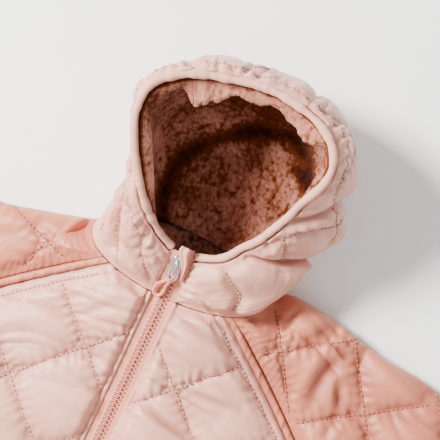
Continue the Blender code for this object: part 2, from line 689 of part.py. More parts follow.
def lining_panel(first, last, columns, rows):
    """The pile lining of one panel, just inside the quilted wall."""
    u = np.linspace(first, last, columns)
    at, from_rim, length = hood_rows(u, LINING_START, LINING_SHORT, rows)
    outer = sample(HOOD_LINING_OUT, u, at)
    inner = sample(HOOD_LINING_IN, u, at)
    thin = (1.0 - smooth(np.minimum(from_rim, length - LINING_SHORT - from_rim) / 12.0))[..., None]
    inner = inner + (outer - inner) * thin * (1.0 - LINING_RIM_WALL / LINING_WALL)
    for face in (outer, inner):
        for row, sign in ((0, 1), (-1, -1)):
            slide = face[row + sign] - face[row]
            face[row] += slide / np.linalg.norm(slide, axis=1, keepdims=True) * SEAM_GAP
    return outer, inner


def rim_line(count):
    """Middle of the bound rim, half way through the hood's wall."""
    u = np.linspace(0, len(HOOD_SECTIONS) - 1, count)
    rim = np.zeros((count, 1))
    return (sample(HOOD_OUTER, u, rim)[:, 0] + sample(HOOD_RIM_IN, u, rim)[:, 0]) / 2


HOOD_OUTER, HOOD_RUN = hood_base()
HOOD_SHELL_IN = grown_in(HOOD_OUTER, SHELL_WALL, 4)
HOOD_LINING_OUT = grown_in(HOOD_SHELL_IN, LINING_CLEARANCE, 2)
HOOD_LINING_IN = grown_in(HOOD_LINING_OUT, LINING_WALL, 15)
HOOD_RIM_IN = grown_in(HOOD_OUTER, SHELL_RIM_WALL + LINING_CLEARANCE + LINING_RIM_WALL, 4)
SHELL_START = np.maximum(clear_of_binding(HOOD_OUTER), clear_of_binding(HOOD_SHELL_IN))
LINING_START = np.maximum(clear_of_binding(HOOD_LINING_OUT), clear_of_binding(HOOD_LINING_IN))


# Zip


def zip_z(y):
    """Height of the fronts' edges beside the zip, up the body and then up the standing collar."""
    body = front_inner_z(np.full_like(y, ZIP_HALF), np.minimum(y, 0.0)) + SEAM_WALL
    return np.where(y > 0, NECK_FRONT_Z + COLLAR_SLOPE * y, np.minimum(body, NECK_FRONT_Z))


def zip_strip(x0, x1, low, high, y0, y1, rows):
    """Faces of a flat strip along the zip between two distances across it and two heights."""
    y = np.concatenate([np.linspace(y0, -LIFT_REACH, 3)[:-1], np.linspace(-LIFT_REACH, y1, rows)])
    z = zip_z(y)
    faces = []
    for height in (high, low):
        columns = [np.stack([np.full_like(y, x), y, z + height], axis=-1) for x in (x0, x1)]
        faces.append(np.array(columns))
    return faces


def over_zip(places):
    """Points over the zip, from rows of x, y and height above the fronts' edges."""
    places = np.array(places, float)
    return places + np.stack([0 * places[:, 0], 0 * places[:, 1], zip_z(places[:, 1])], axis=-1)


def slider_grid():
    """The slider's upper plate with its bridge, wider towards the top."""
    across = np.array([-1.0, -0.8, -0.3, -0.24, 0.24, 0.3, 0.8, 1.0])[:, None]
    y = np.linspace(*SLIDER_Y, 12)[None, :]
    half = SLIDER_HALF * (0.82 + 0.18 * smooth((y - SLIDER_Y[0]) / 7.0))
    x = SLIDER_X + across * half
    corner = smooth((1.0 - np.abs(across)) / 0.2) * 0.5
    bridge = (np.abs(across) < 0.27) * smooth((y - BRIDGE_Y[0]) / 2.5) * smooth((BRIDGE_Y[1] - y) / 2.5)
    z = zip_z(y[0])[None, :] + 0 * x
    outer = np.stack([x, y + 0 * x, z + PLATE_TOP - 0.5 + corner + BRIDGE_RISE * bridge], axis=-1)
    return outer, np.stack([x, y + 0 * x, z + PLATE_UNDER], axis=-1)


def garage_grid(columns=9, rows=11):
    """The folded cover over the zip's top, from its free edge down to the tape that it is sewn to."""
    v = np.linspace(0, 1, rows)
    free = spline(GARAGE_FREE, v * (len(GARAGE_FREE) - 1))
    sewn = spline(GARAGE_SEWN, v * (len(GARAGE_SEWN) - 1))
    u = np.linspace(0, 1, columns)[:, None, None]
    plan = free + (sewn - free) * u
    z = zip_z(plan[..., 1].ravel()).reshape(plan.shape[:2])
    crown = GARAGE_CROWN * np.sin(math.pi * u[..., 0]) * (1.0 - 0.5 * v)
    over = GARAGE_UNDER + (GARAGE_TIP_UNDER - GARAGE_UNDER) * smooth((v - 0.6) / 0.4) + crown
    fall = smooth(u[..., 0] * 2.0 - 1.0)
    low = z + over + (GARAGE_SEWN_UNDER - over) * fall
    outer = np.concatenate([plan, (low + GARAGE_WALL)[..., None]], axis=-1)
    return outer, np.concatenate([plan, low[..., None]], axis=-1)


def main():
    for old in list(bpy.data.objects):
        bpy.data.objects.remove(old)
    jacket = bpy.data.collections.new("reversible_jacket")
    bpy.context.scene.collection.children.link(jacket)
    pale = material("pale_shell", PALE_PINK, 0.55)
    salmon = material("salmon_shell", SALMON, 0.55)
    pile = material("pile_lining", PILE, 0.95)
    plastic = material("zip_plastic", SALMON, 0.4)
    steel = material("slider_metal", STEEL, 0.25, 1.0)

    cloth_wall("back_panel", *back_grid(), pale, jacket)
    for name, side in (("left", 1), ("right", -1)):
        cloth_wall("front_" + name, *front_grid(side), pale, jacket)
        cloth_wall("raglan_piping_" + name, *piping_grid(side), salmon, jacket)
        cloth_wall("sleeve_" + name, *sleeve_grid(SLEEVES[name]), salmon, jacket)

    last = len(HOOD_SECTIONS) - 1
    panels = (
        ("right", 0, LEFT_SEAM_ROW, 12),
        ("centre", LEFT_SEAM_ROW, RIGHT_SEAM_ROW, 7),
        ("left", RIGHT_SEAM_ROW, last, 15),
    )
    shell_rows = np.array([0, 0.03, 0.07, 0.13, 0.2, 0.28, 0.37, 0.46, 0.55, 0.64, 0.73, 0.82, 0.91, 1.0])
    for name, start, end, columns in panels:
        shell = hood_panel(start, end, shell_rows, HOOD_LINES[name])
        cloth_wall("hood_" + name, *shell, pale, jacket)
        lining = lining_panel(start, end, columns, np.linspace(0, 1, 14))
        cloth_wall("hood_lining_" + name, *lining, pile, jacket)
    tube("hood_binding", rim_line(56), BINDING_RADIUS, pale, jacket)

    for name, side in (("left", 1), ("right", -1)):
        inside, outside = side * (CHAIN_HALF + SEAM_GAP), side * (ZIP_HALF - SEAM_GAP)
        strip = zip_strip(inside, outside, -2.2, -1.0, HEM_Y, TAPE_TOP_Y, 16)
        cloth_wall("zip_tape_" + name, *strip, salmon, jacket)
    chain = zip_strip(-CHAIN_HALF, CHAIN_HALF, -2.0, 0.6, HEM_Y, CHAIN_TOP_Y, 16)
    cloth_wall("zip_chain", *chain, plastic, jacket)
    cloth_wall("zip_slider", *slider_grid(), steel, jacket)
    cloth_wall("zip_garage", *garage_grid(), pale, jacket)
    tube("pull_cord_left", over_zip(CORD_LEFT), CORD_RADIUS, salmon, jacket)
    tube("pull_cord_right", over_zip(CORD_RIGHT), CORD_RADIUS, salmon, jacket)
    tube("pull_grip", over_zip(GRIP), GRIP_RADIUS, plastic, jacket)


main()
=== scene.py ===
"""Looks of a baby's reversible hooded jacket, laid on its back with the hood standing open.

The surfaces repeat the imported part's own sizes and formulas and are cut much finer, so that each
piece can carry its puffs, puckers, folds, stitches and pile as real geometry.
All sizes are millimetres until mesh_of, pull_pieces and Nodes turn them into metres.
x runs to the wearer's left, y up the garment from the front neck seam, z up from the table.
"""

import math

import bmesh
import bpy
import numpy as np
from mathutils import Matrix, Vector


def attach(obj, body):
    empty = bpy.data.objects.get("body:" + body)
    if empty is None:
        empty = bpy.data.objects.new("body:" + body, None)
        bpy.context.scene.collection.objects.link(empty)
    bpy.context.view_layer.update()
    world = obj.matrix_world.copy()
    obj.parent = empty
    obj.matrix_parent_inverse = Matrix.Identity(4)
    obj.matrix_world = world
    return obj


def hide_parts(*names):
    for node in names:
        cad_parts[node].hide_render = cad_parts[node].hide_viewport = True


MM = 0.001
UP = (0, 0, 1.0)
SIDES = (("left", 1), ("right", -1))
SEAM_GAP = 0.3

# Walls: a quilted shell with wadding, backed by pile.
BACK_WALL = 11.0
SEAM_WALL = 4.0
STITCH_WALL = 6.5
PUFF_WALL = 13.0
EDGE_ROUND = 14.0
NAPE_THINNING = 6.0

# Body cut, as it lies.
ZIP_HALF = 8.0
UNDERARM = (165.0, -92.0)
HEM_HALF = 171.0
HEM_Y = -300.0
QUILT = 80.0
FRONT_QUILT = (-20.0, -88.0)

# Neck seam: an ellipse in plan that drops from the zip to the nape.
NECK_HALF_WIDTH = 66.0
NECK_HALF_DEPTH = 24.0
NECK_FRONT_Z = 36.0
NECK_BACK_Z = 2.0
NECK_WALL = 5.0
NAPE_FACING = 6.0
LIFT_REACH = 85.0
SHOULDER_GROOVE = 0.5
PIPING_HALF = 3.0
NECK_BLEND = 0.14
SLEEVE_BLEND = 0.5
ZIP_ANGLE = 7.2
RAGLAN_ANGLE = 45.0
PIPING_ANGLE = 3.6
BACK_RAGLAN_ANGLE = 130.0
BACK_SEAM_ANGLE = 0.2

# Hood walls.
SHELL_RIM_WALL = 2.0
SHELL_WALL = 3.2
SHELL_PUFF = 6.0
LINING_CLEARANCE = 1.4
LINING_RIM_WALL = 1.8
LINING_WALL = 4.5
BINDING_RADIUS = 2.6
HOOD_QUILT = 50.0
HOOD_SLANT = 0.68
HOOD_LINES = {"left": (22.0, 14.0), "centre": (30.0, -19.0), "right": (0.0, -48.0)}
CREASE_PRESS = 0.8

# Zip.
CHAIN_HALF = 2.9
TOOTH_PITCH = 3.15
COLLAR_SLOPE = 21.0 / 36.0
TAPE_TOP_Y = 34.0
SLIDER_X = -1.2
SLIDER_Y = (12.0, 28.5)
SLIDER_HALF = 4.6
PLATE_TOP = 2.4
BRIDGE_Y = (16.0, 27.0)
BRIDGE_RISE = 3.0

# Cover over the zip's top: its free edge and its sewn edge, from the top down.
GARAGE_FREE = ((-2.8, 38.5), (-3.2, 34.0), (2.2, 26.0), (4.2, 20.5), (5.4, 16.0))
GARAGE_SEWN = ((6.6, 38.5), (7.1, 34.0), (7.2, 29.0), (7.2, 22.0), (7.2, 16.0))
GARAGE_UNDER = 3.6
GARAGE_TIP_UNDER = 1.2
GARAGE_SEWN_UNDER = -0.7
GARAGE_WALL = 1.6
GARAGE_CROWN = 2.0

# Pull: a cord through the slider's bridge, its two strands knotted above a moulded U grip.
# Rows of x, y and height above the fronts' edges.
CORD_RADIUS = 0.7
CORD_LEFT = ((0.9, 23.0, 3.9), (0.9, 20.5, 3.7), (0.9, 17.5, 3.6), (-0.3, 14.4, 3.9))
CORD_RIGHT = ((-3.3, 23.0, 3.9), (-3.3, 20.5, 3.7), (-3.3, 17.5, 3.6), (-2.3, 14.4, 3.9))
GRIP_RADIUS = 1.15
GRIP = (
    (-2.9, 12.2, 4.4), (-4.6, 10.9, 3.6), (-6.6, 8.9, 2.6), (-7.9, 6.3, 2.4), (-8.2, 3.6, 2.3),
    (-7.2, 1.3, 2.4), (-5.0, 0.3, 2.6), (-2.9, 1.2, 2.6), (-1.7, 3.4, 2.4), (-1.4, 6.2, 2.4),
    (-1.5, 9.2, 3.6), (-0.5, 11.8, 4.5),
)

# One row for each section of the hood, from the zip on the wearer's right over the head to the
# zip on the left: where it meets the neck seam in degrees, its rim, its widest point, and how
# far its foot is tucked under onto the table (0 not at all, 1 fully).
HOOD_COLUMNS = ("neck", "rim_x", "rim_y", "rim_z", "side_x", "side_y", "side_z", "tuck")
HOOD_SECTIONS = (
    (-7, -8, 34, 55.8, -8, 17, 45.9, 0.0),
    (-22, -19, 38.5, 65, -25, 21, 49, 0.0),
    (-42, -33, 48, 80, -45, 29, 50, 0.0),
    (-68, -47, 64, 94, -58, 42, 49, 0.0),
    (-105, -60, 85, 103, -57, 70, 52, 0.0),
    (-123, -67, 105, 108, -66, 98, 52, 1.0),
    (-138, -64, 126, 110, -69, 124, 53, 1.0),
    (-154, -43, 142, 108, -47, 154, 54, 1.0),
    (-166, -20, 149, 107, -24, 165, 53, 1.0),
    (-180, 4, 154, 107, 4, 170, 52, 1.0),
    (-206, 32, 151, 109, 36, 168, 54, 1.0),
    (-220, 50, 144, 110, 60, 157, 55, 1.0),
    (-230, 61, 133, 110, 76, 140, 54, 1.0),
    (-238, 65, 118, 107, 84, 118, 52, 1.0),
    (-256, 60, 98, 101, 85, 90, 50, 0.0),
    (-286, 49, 76, 90, 81, 61, 45, 0.0),
    (-310, 38, 54, 76, 65, 34, 45, 0.0),
    (-332, 24, 40, 64, 34, 21, 47, 0.0),
    (-353, 8, 34, 55.8, 8, 17, 45.9, 0.0),
)
LAST = len(HOOD_SECTIONS) - 1
LEFT_SEAM_ROW = 7
RIGHT_SEAM_ROW = 10
HOOD_CENTRE = (4.0, 86.0)
HOOD_GRID = (109, 41)
HOOD_EVENING = 20
HEEL_Z = 16.0

# Stretches of the rim that the elastic gathers: first and last section, how many gathers, depth.
GATHERS = (
    (0.6, 2.6, 6, 2.0),
    (4.4, 9.4, 18, 3.4),
    (9.4, 13.6, 9, 4.0),
)
GATHER_REACH = 16.0

# Creases of the hood: from and to in plan, half width and depth.
CREASES = (
    (36, 49, 60, 56, 6.0, 3.5),
    (60, 56, 88, 74, 6.5, 3.5),
    (74, 106, 92, 122, 6.0, 3.0),
    (58, 92, 74, 106, 6.0, 2.5),
    (-56, 62, -46, 18, 6.0, 2.5),
    (-64, 52, -58, 22, 5.0, 2.0),
)

# Sleeves: how each lies, its width, where its fold meets the neck, its grain and its fold in plan.
SLEEVES = {
    "left": {
        "side": 1,
        "lie": 20.0,
        "bicep": 115.0,
        "crown": 108.0,
        "grain": 12.0,
        "fold": ((84, 38.5), (119, 34), (150, 27)),
    },
    "right": {
        "side": -1,
        "lie": 38.0,
        "bicep": 108.0,
        "crown": 100.0,
        "grain": 27.0,
        "fold": ((80, 24), (119, 13), (158, 7)),
    },
}
SLEEVE_UNDERARM = 190.0
CUFF = 92.0
SLEEVE_QUILT = 73.0
SLEEVE_CROSSING = (89.0, 1.0)
FOLD_RADIUS = 15.0
NECK_FOLD_RADIUS = 8.0
FOLD_TURN = 8.0

# Folds drawn into each cloth: width, depth, then the points of a line in plan, x and y in turn
# (a front or sleeve as if on the left).
FOLDS = {
    "front_left": (
        (3.5, 2.6,  11.5, -9,  21.5, -9.5,  33.5, -11.5,  45, -12.5,  58.5, -13.5),
        (2.2, 1.0,  7, -19.5,  15, -20.5,  23.5, -22.5),
        (2.6, 1.7,  38.5, -49,  46, -51,  55.5, -51,  68, -50,  81.5, -49),
        (2.8, 2.3,  21, -71.5,  27, -75.5,  34, -78,  44, -80,  54.5, -81),
        (1.8, 0.9,  8.5, -39.5,  15.5, -41.5,  22.5, -43),
        (1.6, 1.2,  35.5, 1.5,  39.5, -2,  45, -5.5),
        (1.6, 1.0,  38.5, 2.5,  44.5, -0.5,  51, -3),
    ),
    "front_right": (
        (2.0, 1.2,  23, -0.5,  18, -3,  11.5, -7),
        (3.0, 1.1,  51.5, -16,  42.5, -9.5,  30.5, -5.5,  21.5, -6),
        (3.0, 1.0,  47, -34,  35.5, -24.5,  24, -16),
        (1.8, 1.0,  45, 4.5,  41, -0.5,  35.5, -4.5),
        (2.4, 1.0,  26, -74,  18, -78,  9, -79),
    ),
    "sleeve_left": (
        (1.8, 1.5,  58, 12.5,  64, 12,  69.5, 11.5),
        (2.2, 1.8,  84.5, 12,  84.5, 18.5,  85.5, 24.5,  89, 32),
        (4.5, 2.2,  100.5, 14.5,  107.5, 20.5,  113, 29,  115, 33),
        (1.6, 1.2,  121, 23.5,  118.5, 29.5,  119, 32),
        (4.5, 3.2,  122.5, -26.5,  122, -14.5,  122.5, -2,  125.5, 8.5,  130, 15.5),
        (2.0, 1.6,  131, 15.5,  126.5, 18.5,  121, 18.5),
        (2.6, 1.8,  135.5, -2.5,  140, -12.5,  143.5, -23.5),
        (3.0, 1.6,  140.5, -42.5,  142, -33.5,  143.5, -26.5),
        (1.6, 1.0,  83.5, -2.5,  80.5, -6.5,  78.5, -9.5),
        (1.6, 1.2,  93.5, 6.5,  93, 12.5,  90.5, 16.5),
    ),
    "hood": (
        (1.8, 3.4,  80, 111.5,  77, 107,  70, 97.5,  61, 88.5,  53.5, 82,  49.5, 77),
        (1.5, 3.6,  86, 73, 82, 71, 78, 66.5, 72.5, 62.5, 63.5, 57.5, 57, 55, 48.5, 53, 43, 52, 39, 49.5),
        (1.4, 1.4,  54, 71.5,  49, 65.5,  45, 59.5),
        (1.4, 1.3,  42, 64,  46.5, 63,  51.5, 60.5),
        (1.1, 1.6,  26, 12,  30.5, 9,  34.5, 5),
        (1.1, 1.4,  30.5, 11.5,  34.5, 8.5,  37.5, 5),
        (1.8, 1.2,  13, 13,  20.5, 13.5,  27, 11.5),
        (2.0, 1.8,  -51.5, 59.5,  -45.5, 51.5,  -41.5, 43.5,  -38, 36.5),
        (3.6, 2.6,  -54, 45.5,  -48.5, 37.5,  -45, 28.5,  -42, 19.5),
        (3.0, 1.3,  -57.5, 31.5,  -55.5, 25,  -52.5, 19),
        (2.0, 1.6,  -38.5, 27,  -32, 23.5,  -26, 20.5),
        (1.6, 1.8,  -32.5, 42.5,  -24.5, 37.5,  -16, 33,  -9, 28.5),
        (1.6, 1.5,  -24, 32.5,  -15.5, 28,  -10, 23),
        (1.6, 1.4,  -23.5, 15,  -16, 10,  -10, 6),
        (1.3, 1.6,  -31, 155.5,  -30.5, 150.5,  -26.5, 147),
        (1.4, 1.3,  -25, 155,  -20.5, 153.5,  -16, 151),
        (1.5, 1.6,  -10.5, 168,  -11.5, 163,  -13, 155.5,  -14, 150),
        (1.4, 1.2,  0, 168.5,  -3, 161.5,  -5, 154),
        (1.1, 1.2,  -60, 132,  -61.5, 127.5),
        (1.1, 1.2,  -58.5, 137.5,  -57, 132.5),
        (1.1, 1.2,  -54, 143,  -52.5, 138.5),
        (1.1, 1.2,  -50, 149,  -48, 143.5),
        (1.4, 1.4,  43, 160,  41, 154,  44.5, 152),
        (1.4, 1.4,  56, 152.5,  52, 148.5,  50, 144),
        (1.4, 1.4,  61.5, 146.5,  58.5, 142.5,  57.5, 138.5),
        (1.4, 1.2,  71, 136.5,  66, 133,  64, 129),
    ),
}

# Where the hood stands out further (below 0) or lies closer (above 0): rows as above.
SWELLS = (
    (13.0, -6.5,  87, 99,  86, 82),
    (9.0, -3.0,  81, 66,  80, 58),
    (15.0, 3.5,  -60, 72,  -69, 106),
)

# Share of the rows of the back and of a sleeve that lie above the underarm, and the lengths that a
# seam's ripples are counted along.
BACK_SHARE, SLEEVE_SHARE = 0.4, 0.46
RAGLAN_RUN, SLEEVE_RUN, PIPING_RUN = 250.0, 420.0, 205.0

# Stitch lines: beside the raglan seam, round the hood's elastic casing up to a section, and down the
# standing collar, which is calm from a section on.
TOPSTITCH = 5.0
CASING, CASING_END = 13.0, 13.8
CALM, COLLAR_LINE = 15.1, (17.0, 16.3)

# Stretches of the hood that lie flatter than the rest: first and last section, and how much.
FLATTER = ((3.0, 9.0, 0.6), (8.0, 13.0, 0.4))

# Stitch length, gap and thread radius, needle hole radius, puckers and pile tufts.
STITCH, STITCH_GAP, THREAD, HOLE = 1.9, 1.5, 0.45, 0.8
PUCKER_PITCH, PUCKER_REACH, PUCKER_DEPTH = 7.0, 8.0, 0.75
TUFT, PILE_DEPTH = 3.4, 2.4

# Lobes of pile that roll out over the rim: section, half width, distance from the rim, reach, rise.
LOBES = (
    (7.35, 0.52, 8.0, 9.0, 13.0),
    (8.4, 0.7, 6.0, 6.0, 6.0),
    (10.5, 0.85, 8.0, 9.0, 10.5),
)

# Sections of the rim between which the pile below it lies in the dark.
DARK_CORNER = (4.8, 6.2)

# Where the hood's wall meets its floor, in plan; shade is painted into the pile along it.
FLOOR_CREASE = (
    (-24, 44), (-32, 66), (-33, 86), (-27, 100), (-12, 117), (11, 133), (34, 137), (52, 126), (60, 108),
)
FLOOR_HOLLOW = (4.0, 1.0, 42.5, 120.5, 52, 116, 59, 109)

# Fold of the pile along the right side wall, in plan, from the top down, with painted light on the wall
# beside it.
WALL_FOLD = ((-22.5, 44.4), (-44.8, 96.6))

# Points of each fine grid, across and down. Body panels have rows above and below the underarm, and
# a sleeve has columns over the arm, round its fold and under it. The hood's columns go all round it.
FRONT_FINE, BACK_FINE = (130, 100, 110), (160, 110, 60)
SLEEVE_AROUND, SLEEVE_ROWS = (90, 21, 22), (120, 70)
PIPING_FINE, TAPE_FINE = (15, 260), (16, 420)
HOOD_FINE, PILE_FINE = (480, 140), (560, 190)
PLATE_FINE, COVER_FINE, BINDING_POINTS = (29, 40), (50, 60), 900

# Seeds of the noise in each kind of cloth. A side's own number, 1 or -1, is added.
FRONT_SEED, SLEEVE_SEED, FRONT_WRINKLES, SLEEVE_WRINKLES = 10, 50, 300, 320
PIPING_SEED, BACK_SEED, BINDING_SEED, COVER_SEED = 31, 41, 61, 71
HOOD_SEEDS = {"right": 80, "centre": 110, "left": 140}
PILE_SEED, LOBE_SEED, CURL_SEED = 200, 231, 240

# Colours, with the painted shade of each needle hole and of the pile's hollows, and what a cloth's valleys
# keep of red, green and blue where shade is painted into them.
PALE_PINK = (0.70, 0.33, 0.245)
SALMON = (0.53, 0.165, 0.094)
TAPE_PINK = (0.68, 0.25, 0.17)
PALE_PAINTED_HOLE_SHADE, SALMON_PAINTED_HOLE_SHADE = (0.27, 0.10, 0.07), (0.24, 0.05, 0.025)
PILE_DEEP = (0.032, 0.005, 0.001)
PILE_MIDDLE = (0.125, 0.026, 0.005)
PILE_CROWN = (0.62, 0.27, 0.19)
SHADING = (0.55, 0.42, 0.39)
FLOOR = (0.93, 0.93, 0.93)
FLOOR_HALF = 4.0

# Stage, in metres and watts: name, place, size and power of each light.
CAMERA_PLACE, CAMERA_TURN, CAMERA_LENS = (0.0124, 0.0645, 0.935), 25.3, 108.3
LIGHT_COLOUR = (1.0, 0.98, 0.95)
LIGHTS = (
    ("key", (-1.16, 0.12, 1.15), 0.4, 108.0),
    ("fill", (0.9, -0.9, 1.6), 1.6, 8.0),
)
LIGHT_AIM = (0, 0.03, 0.02)
SKY, SKY_COLOUR = 0.78, (1.0, 0.99, 0.98, 1.0)


def smooth(t):
    """0 below 0, 1 above 1, with an even slope between."""
    t = np.clip(t, 0.0, 1.0)
    return t * t * (3.0 - 2.0 * t)


def fade(t):
    """1 below 0, 0 above 1."""
    return 1.0 - smooth(t)


def bell(x, width):
    """1 at 0, falling away on both sides over about that width."""
    return np.exp(-((x / width) ** 2))


def mix(a, b, share):
    """That share of the way from a to b."""
    return a + (b - a) * share


def xyz(*parts):
    """Points from their coordinates, spread over one grid."""
    return np.stack(np.broadcast_arrays(*parts), axis=-1)


def rotated(x, y, degrees):
    """Plan coordinates turned anticlockwise."""
    turn = math.radians(degrees)
    return x * math.cos(turn) - y * math.sin(turn), x * math.sin(turn) + y * math.cos(turn)


def unit(vectors):
    """Vectors of length 1."""
    return vectors / np.linalg.norm(vectors, axis=-1, keepdims=True)


def run_of(points):
    """Distance to each point of a line, or of a grid of lines, from its first row."""
    steps = np.linalg.norm(np.diff(points, axis=0), axis=-1)
    return np.concatenate([0 * steps[:1], np.cumsum(steps, axis=0)])


def along_run(at, run, rows):
    """Rows of a table at those distances along a line."""
    return np.stack([np.interp(at, run, column) for column in rows.T], axis=-1)


def to_line(points, line):
    """Plan distance of points from a line, x and y in turn, and the share of the line that is nearest."""
    line = np.reshape(np.array(line, float), (-1, 2))
    steps = np.diff(line, axis=0)
    runs = np.linalg.norm(steps, axis=1)
    away, at = np.full(points.shape[:2], 1e3), np.zeros(points.shape[:2])
    for k, step in enumerate(steps):
        offset = points[..., :2] - line[k]
        share = np.clip(offset @ step / (step @ step), 0, 1)
        near = np.linalg.norm(offset - share[..., None] * step, axis=-1)
        at = np.where(near < away, (runs[:k].sum() + share * runs[k]) / runs.sum(), at)
        away = np.minimum(away, near)
    return away, at


def spline(points, t):
    """Catmull-Rom curve through points (n, d) at t from 0 to n - 1."""
    points = np.asarray(points, float)
    ends = 2 * points[[0, -1]] - points[[1, -2]]
    p = np.vstack([ends[:1], points, ends[1:]])
    t = np.clip(np.asarray(t, float), 0, len(points) - 1 - 1e-9)
    i = t.astype(int)
    f = (t - i)[:, None]
    a, b, c, d = p[i], p[i + 1], p[i + 2], p[i + 3]
    square, cube = (2 * a - 5 * b + 4 * c - d) * f**2, (3 * b - a - 3 * c + d) * f**3
    return 0.5 * (2 * b + (c - a) * f + square + cube)


def grid_normals(points):
    """Unit normals of a grid of points (m, n, 3)."""
    return unit(np.cross(np.gradient(points, axis=0), np.gradient(points, axis=1)))


def grid_normals_up(points):
    """Unit normals of a grid, all on the side that faces up."""
    normal = grid_normals(points)
    return normal * np.where(normal[..., 2:] < 0, -1.0, 1.0)


# The neck seam and the layers beside it


def neck_z(angle):
    """Height of the neck seam."""
    half = 0.5 * (1.0 + np.cos(np.radians(angle)))
    return mix(NECK_BACK_Z, NECK_FRONT_Z, smooth(half))


def neck(angle, inward=0.0):
    """Points of the neck seam's outer edge, or that far inside the wall."""
    turn = np.radians(np.asarray(angle, float))
    across, up = np.sin(turn), np.cos(turn)
    facing_x, facing_y = across, NAPE_FACING * np.maximum(-up, 0.0)
    facing = inward * across**2 / np.maximum(np.hypot(facing_x, facing_y), 1e-6)
    x = NECK_HALF_WIDTH * across - facing * facing_x
    y = NECK_HALF_DEPTH * (1.0 - up) - facing * facing_y
    return xyz(x, y, neck_z(angle) - inward * up)


def neck_ring(x, y):
    """Angle of a plan point round the neck's middle, and its distance outside the seam."""
    dy = y - NECK_HALF_DEPTH
    angle = np.degrees(np.arctan2(np.abs(x) / NECK_HALF_WIDTH, -dy / NECK_HALF_DEPTH))
    ring = np.maximum(np.hypot(x / NECK_HALF_WIDTH, dy / NECK_HALF_DEPTH), 1.0)
    return angle, np.hypot(x, dy) * (1.0 - 1.0 / ring)


def back_inner_z(x, y):
    """Upper face of the back layer, pressed thinner round the sides and back of the neck."""
    angle, away = neck_ring(x, y)
    return BACK_WALL - NAPE_THINNING * fade(away / 30.0) * smooth((angle - 60.0) / 30.0)


def front_inner_z(x, y):
    """Underside of the front layer: flat on the back layer, lifted towards the open neck."""
    angle, away = neck_ring(x, y)
    rest = back_inner_z(x, y) + SEAM_GAP
    lift = np.maximum(neck_z(angle) - NECK_WALL - rest, 0.0)
    groove = smooth(away / 5.0) * fade((away - 8.0) / 30.0) * smooth((angle - 52.0) / 20.0)
    return rest + lift * fade(away / LIFT_REACH) * (1.0 - SHOULDER_GROOVE * groove)


def raglan(t, side_shift=0.0, back=False):
    """Plan points of the seam from the neck to the underarm, moved across it towards the sleeve."""
    top = neck(BACK_RAGLAN_ANGLE if back else RAGLAN_ANGLE)[:2]
    line = np.array(UNDERARM) - top
    across = np.array([-line[1], line[0]]) / np.hypot(*line)
    bow = 2.5 * np.sin(math.pi * t)
    return top + line * t[..., None] + across * (side_shift + bow)[..., None]


def neck_blend(angles, v, faces, mirror=1.0):
    """A panel's outer and inner faces with their top rows drawn onto the neck seam."""
    blend = fade(v / NECK_BLEND)[..., None]
    return [
        face + (neck(angles, inward)[:, None] * mirror - face[:, :1]) * blend
        for face, inward in zip(faces, (0.0, NECK_WALL))
    ]


# Hood surfaces


def hood_controls(u):
    """Seven guide points down each section u of the hood, from the rim to the neck seam."""
    at = spline(HOOD_SECTIONS, u)
    column = {name: at[:, i] for i, name in enumerate(HOOD_COLUMNS)}
    rim, side = (xyz(*(column[f"{of}_{axis}"] for axis in "xyz")) for of in ("rim", "side"))
    tuck = np.clip(column["tuck"], 0, 1)[:, None]
    end = neck(column["neck"])
    flat = np.array([1.0, 1.0, 0.0])
    fall = end - side
    out, level = unit((side - np.array([*HOOD_CENTRE, 0.0])) * flat), unit(fall * flat)
    swell = smooth(np.minimum(u, LAST - u))[:, None]
    up = np.array([0.0, 0.0, 1.0])
    crest = mix(rim, side, 0.45) + out * 6.0 * tuck + up * (1 - tuck) * swell
    shoulder = [side + fall * f + up * lift * swell for f, lift in ((0.28, 2.0), (0.58, 3.0), (0.85, 1.2))]
    heel = side + level * 9.0 - out * 4.0 * tuck
    heel[:, 2] = HEEL_Z
    foot = side + level * 32.0 - out * 7.0 * tuck
    foot[:, 2] = 0.0
    floor = mix(end, foot, 0.45) * flat
    lower = [mix(near, far, tuck) for near, far in zip(shoulder, (heel, foot, floor))]
    return np.stack([rim, crest, side, *lower, end], axis=1)


def hood_base():
    """The hood's surface before its loft, an even grid of sections by rows, and each section's run."""
    controls = hood_controls(np.linspace(0, LAST, HOOD_GRID[0]))
    fine = np.linspace(0, controls.shape[1] - 1, 121)
    points, runs = [], []
    for guide in controls:
        line = spline(guide, fine)
        line[:, 2] = np.maximum(line[:, 2], 0.0)
        run = run_of(line)
        runs.append(np.linspace(0, run[-1], HOOD_GRID[1]))
        points.append(along_run(runs[-1], run, line))
    points = np.array(points)
    for _ in range(HOOD_EVENING):
        even = points.copy()
        even[1:-1, 1:-1] += 0.2 * (points[2:, 1:-1] + points[:-2, 1:-1] - 2 * points[1:-1, 1:-1])
        even[1:-1, 1:-1] += 0.2 * (points[1:-1, 2:] + points[1:-1, :-2] - 2 * points[1:-1, 1:-1])
        points = even
    return points - grid_normals(points) * crease_depth(points)[..., None], np.array(runs)


def grown_in(points, depth, steps=8):
    """A surface moved inwards, evened a little at each step so that it cannot fold in a hollow."""
    for _ in range(steps):
        points = points - grid_normals(points) * (depth / steps)
        even = points.copy()
        even[1:-1] += 0.3 * (points[2:] + points[:-2] - 2 * points[1:-1])
        even[:, 1:-1] += 0.3 * (points[:, 2:] + points[:, :-2] - 2 * points[:, 1:-1])
        points = even
    return points


def sample(grid, u, row_at):
    """Points of an even grid at sections u and at row positions row_at (one list for each u)."""
    at = np.asarray(u) / LAST * (HOOD_GRID[0] - 1)
    columns = spline(grid.reshape(grid.shape[0], -1), at).reshape(len(u), *grid.shape[1:])
    return np.array([spline(column, at) for column, at in zip(columns, row_at)])


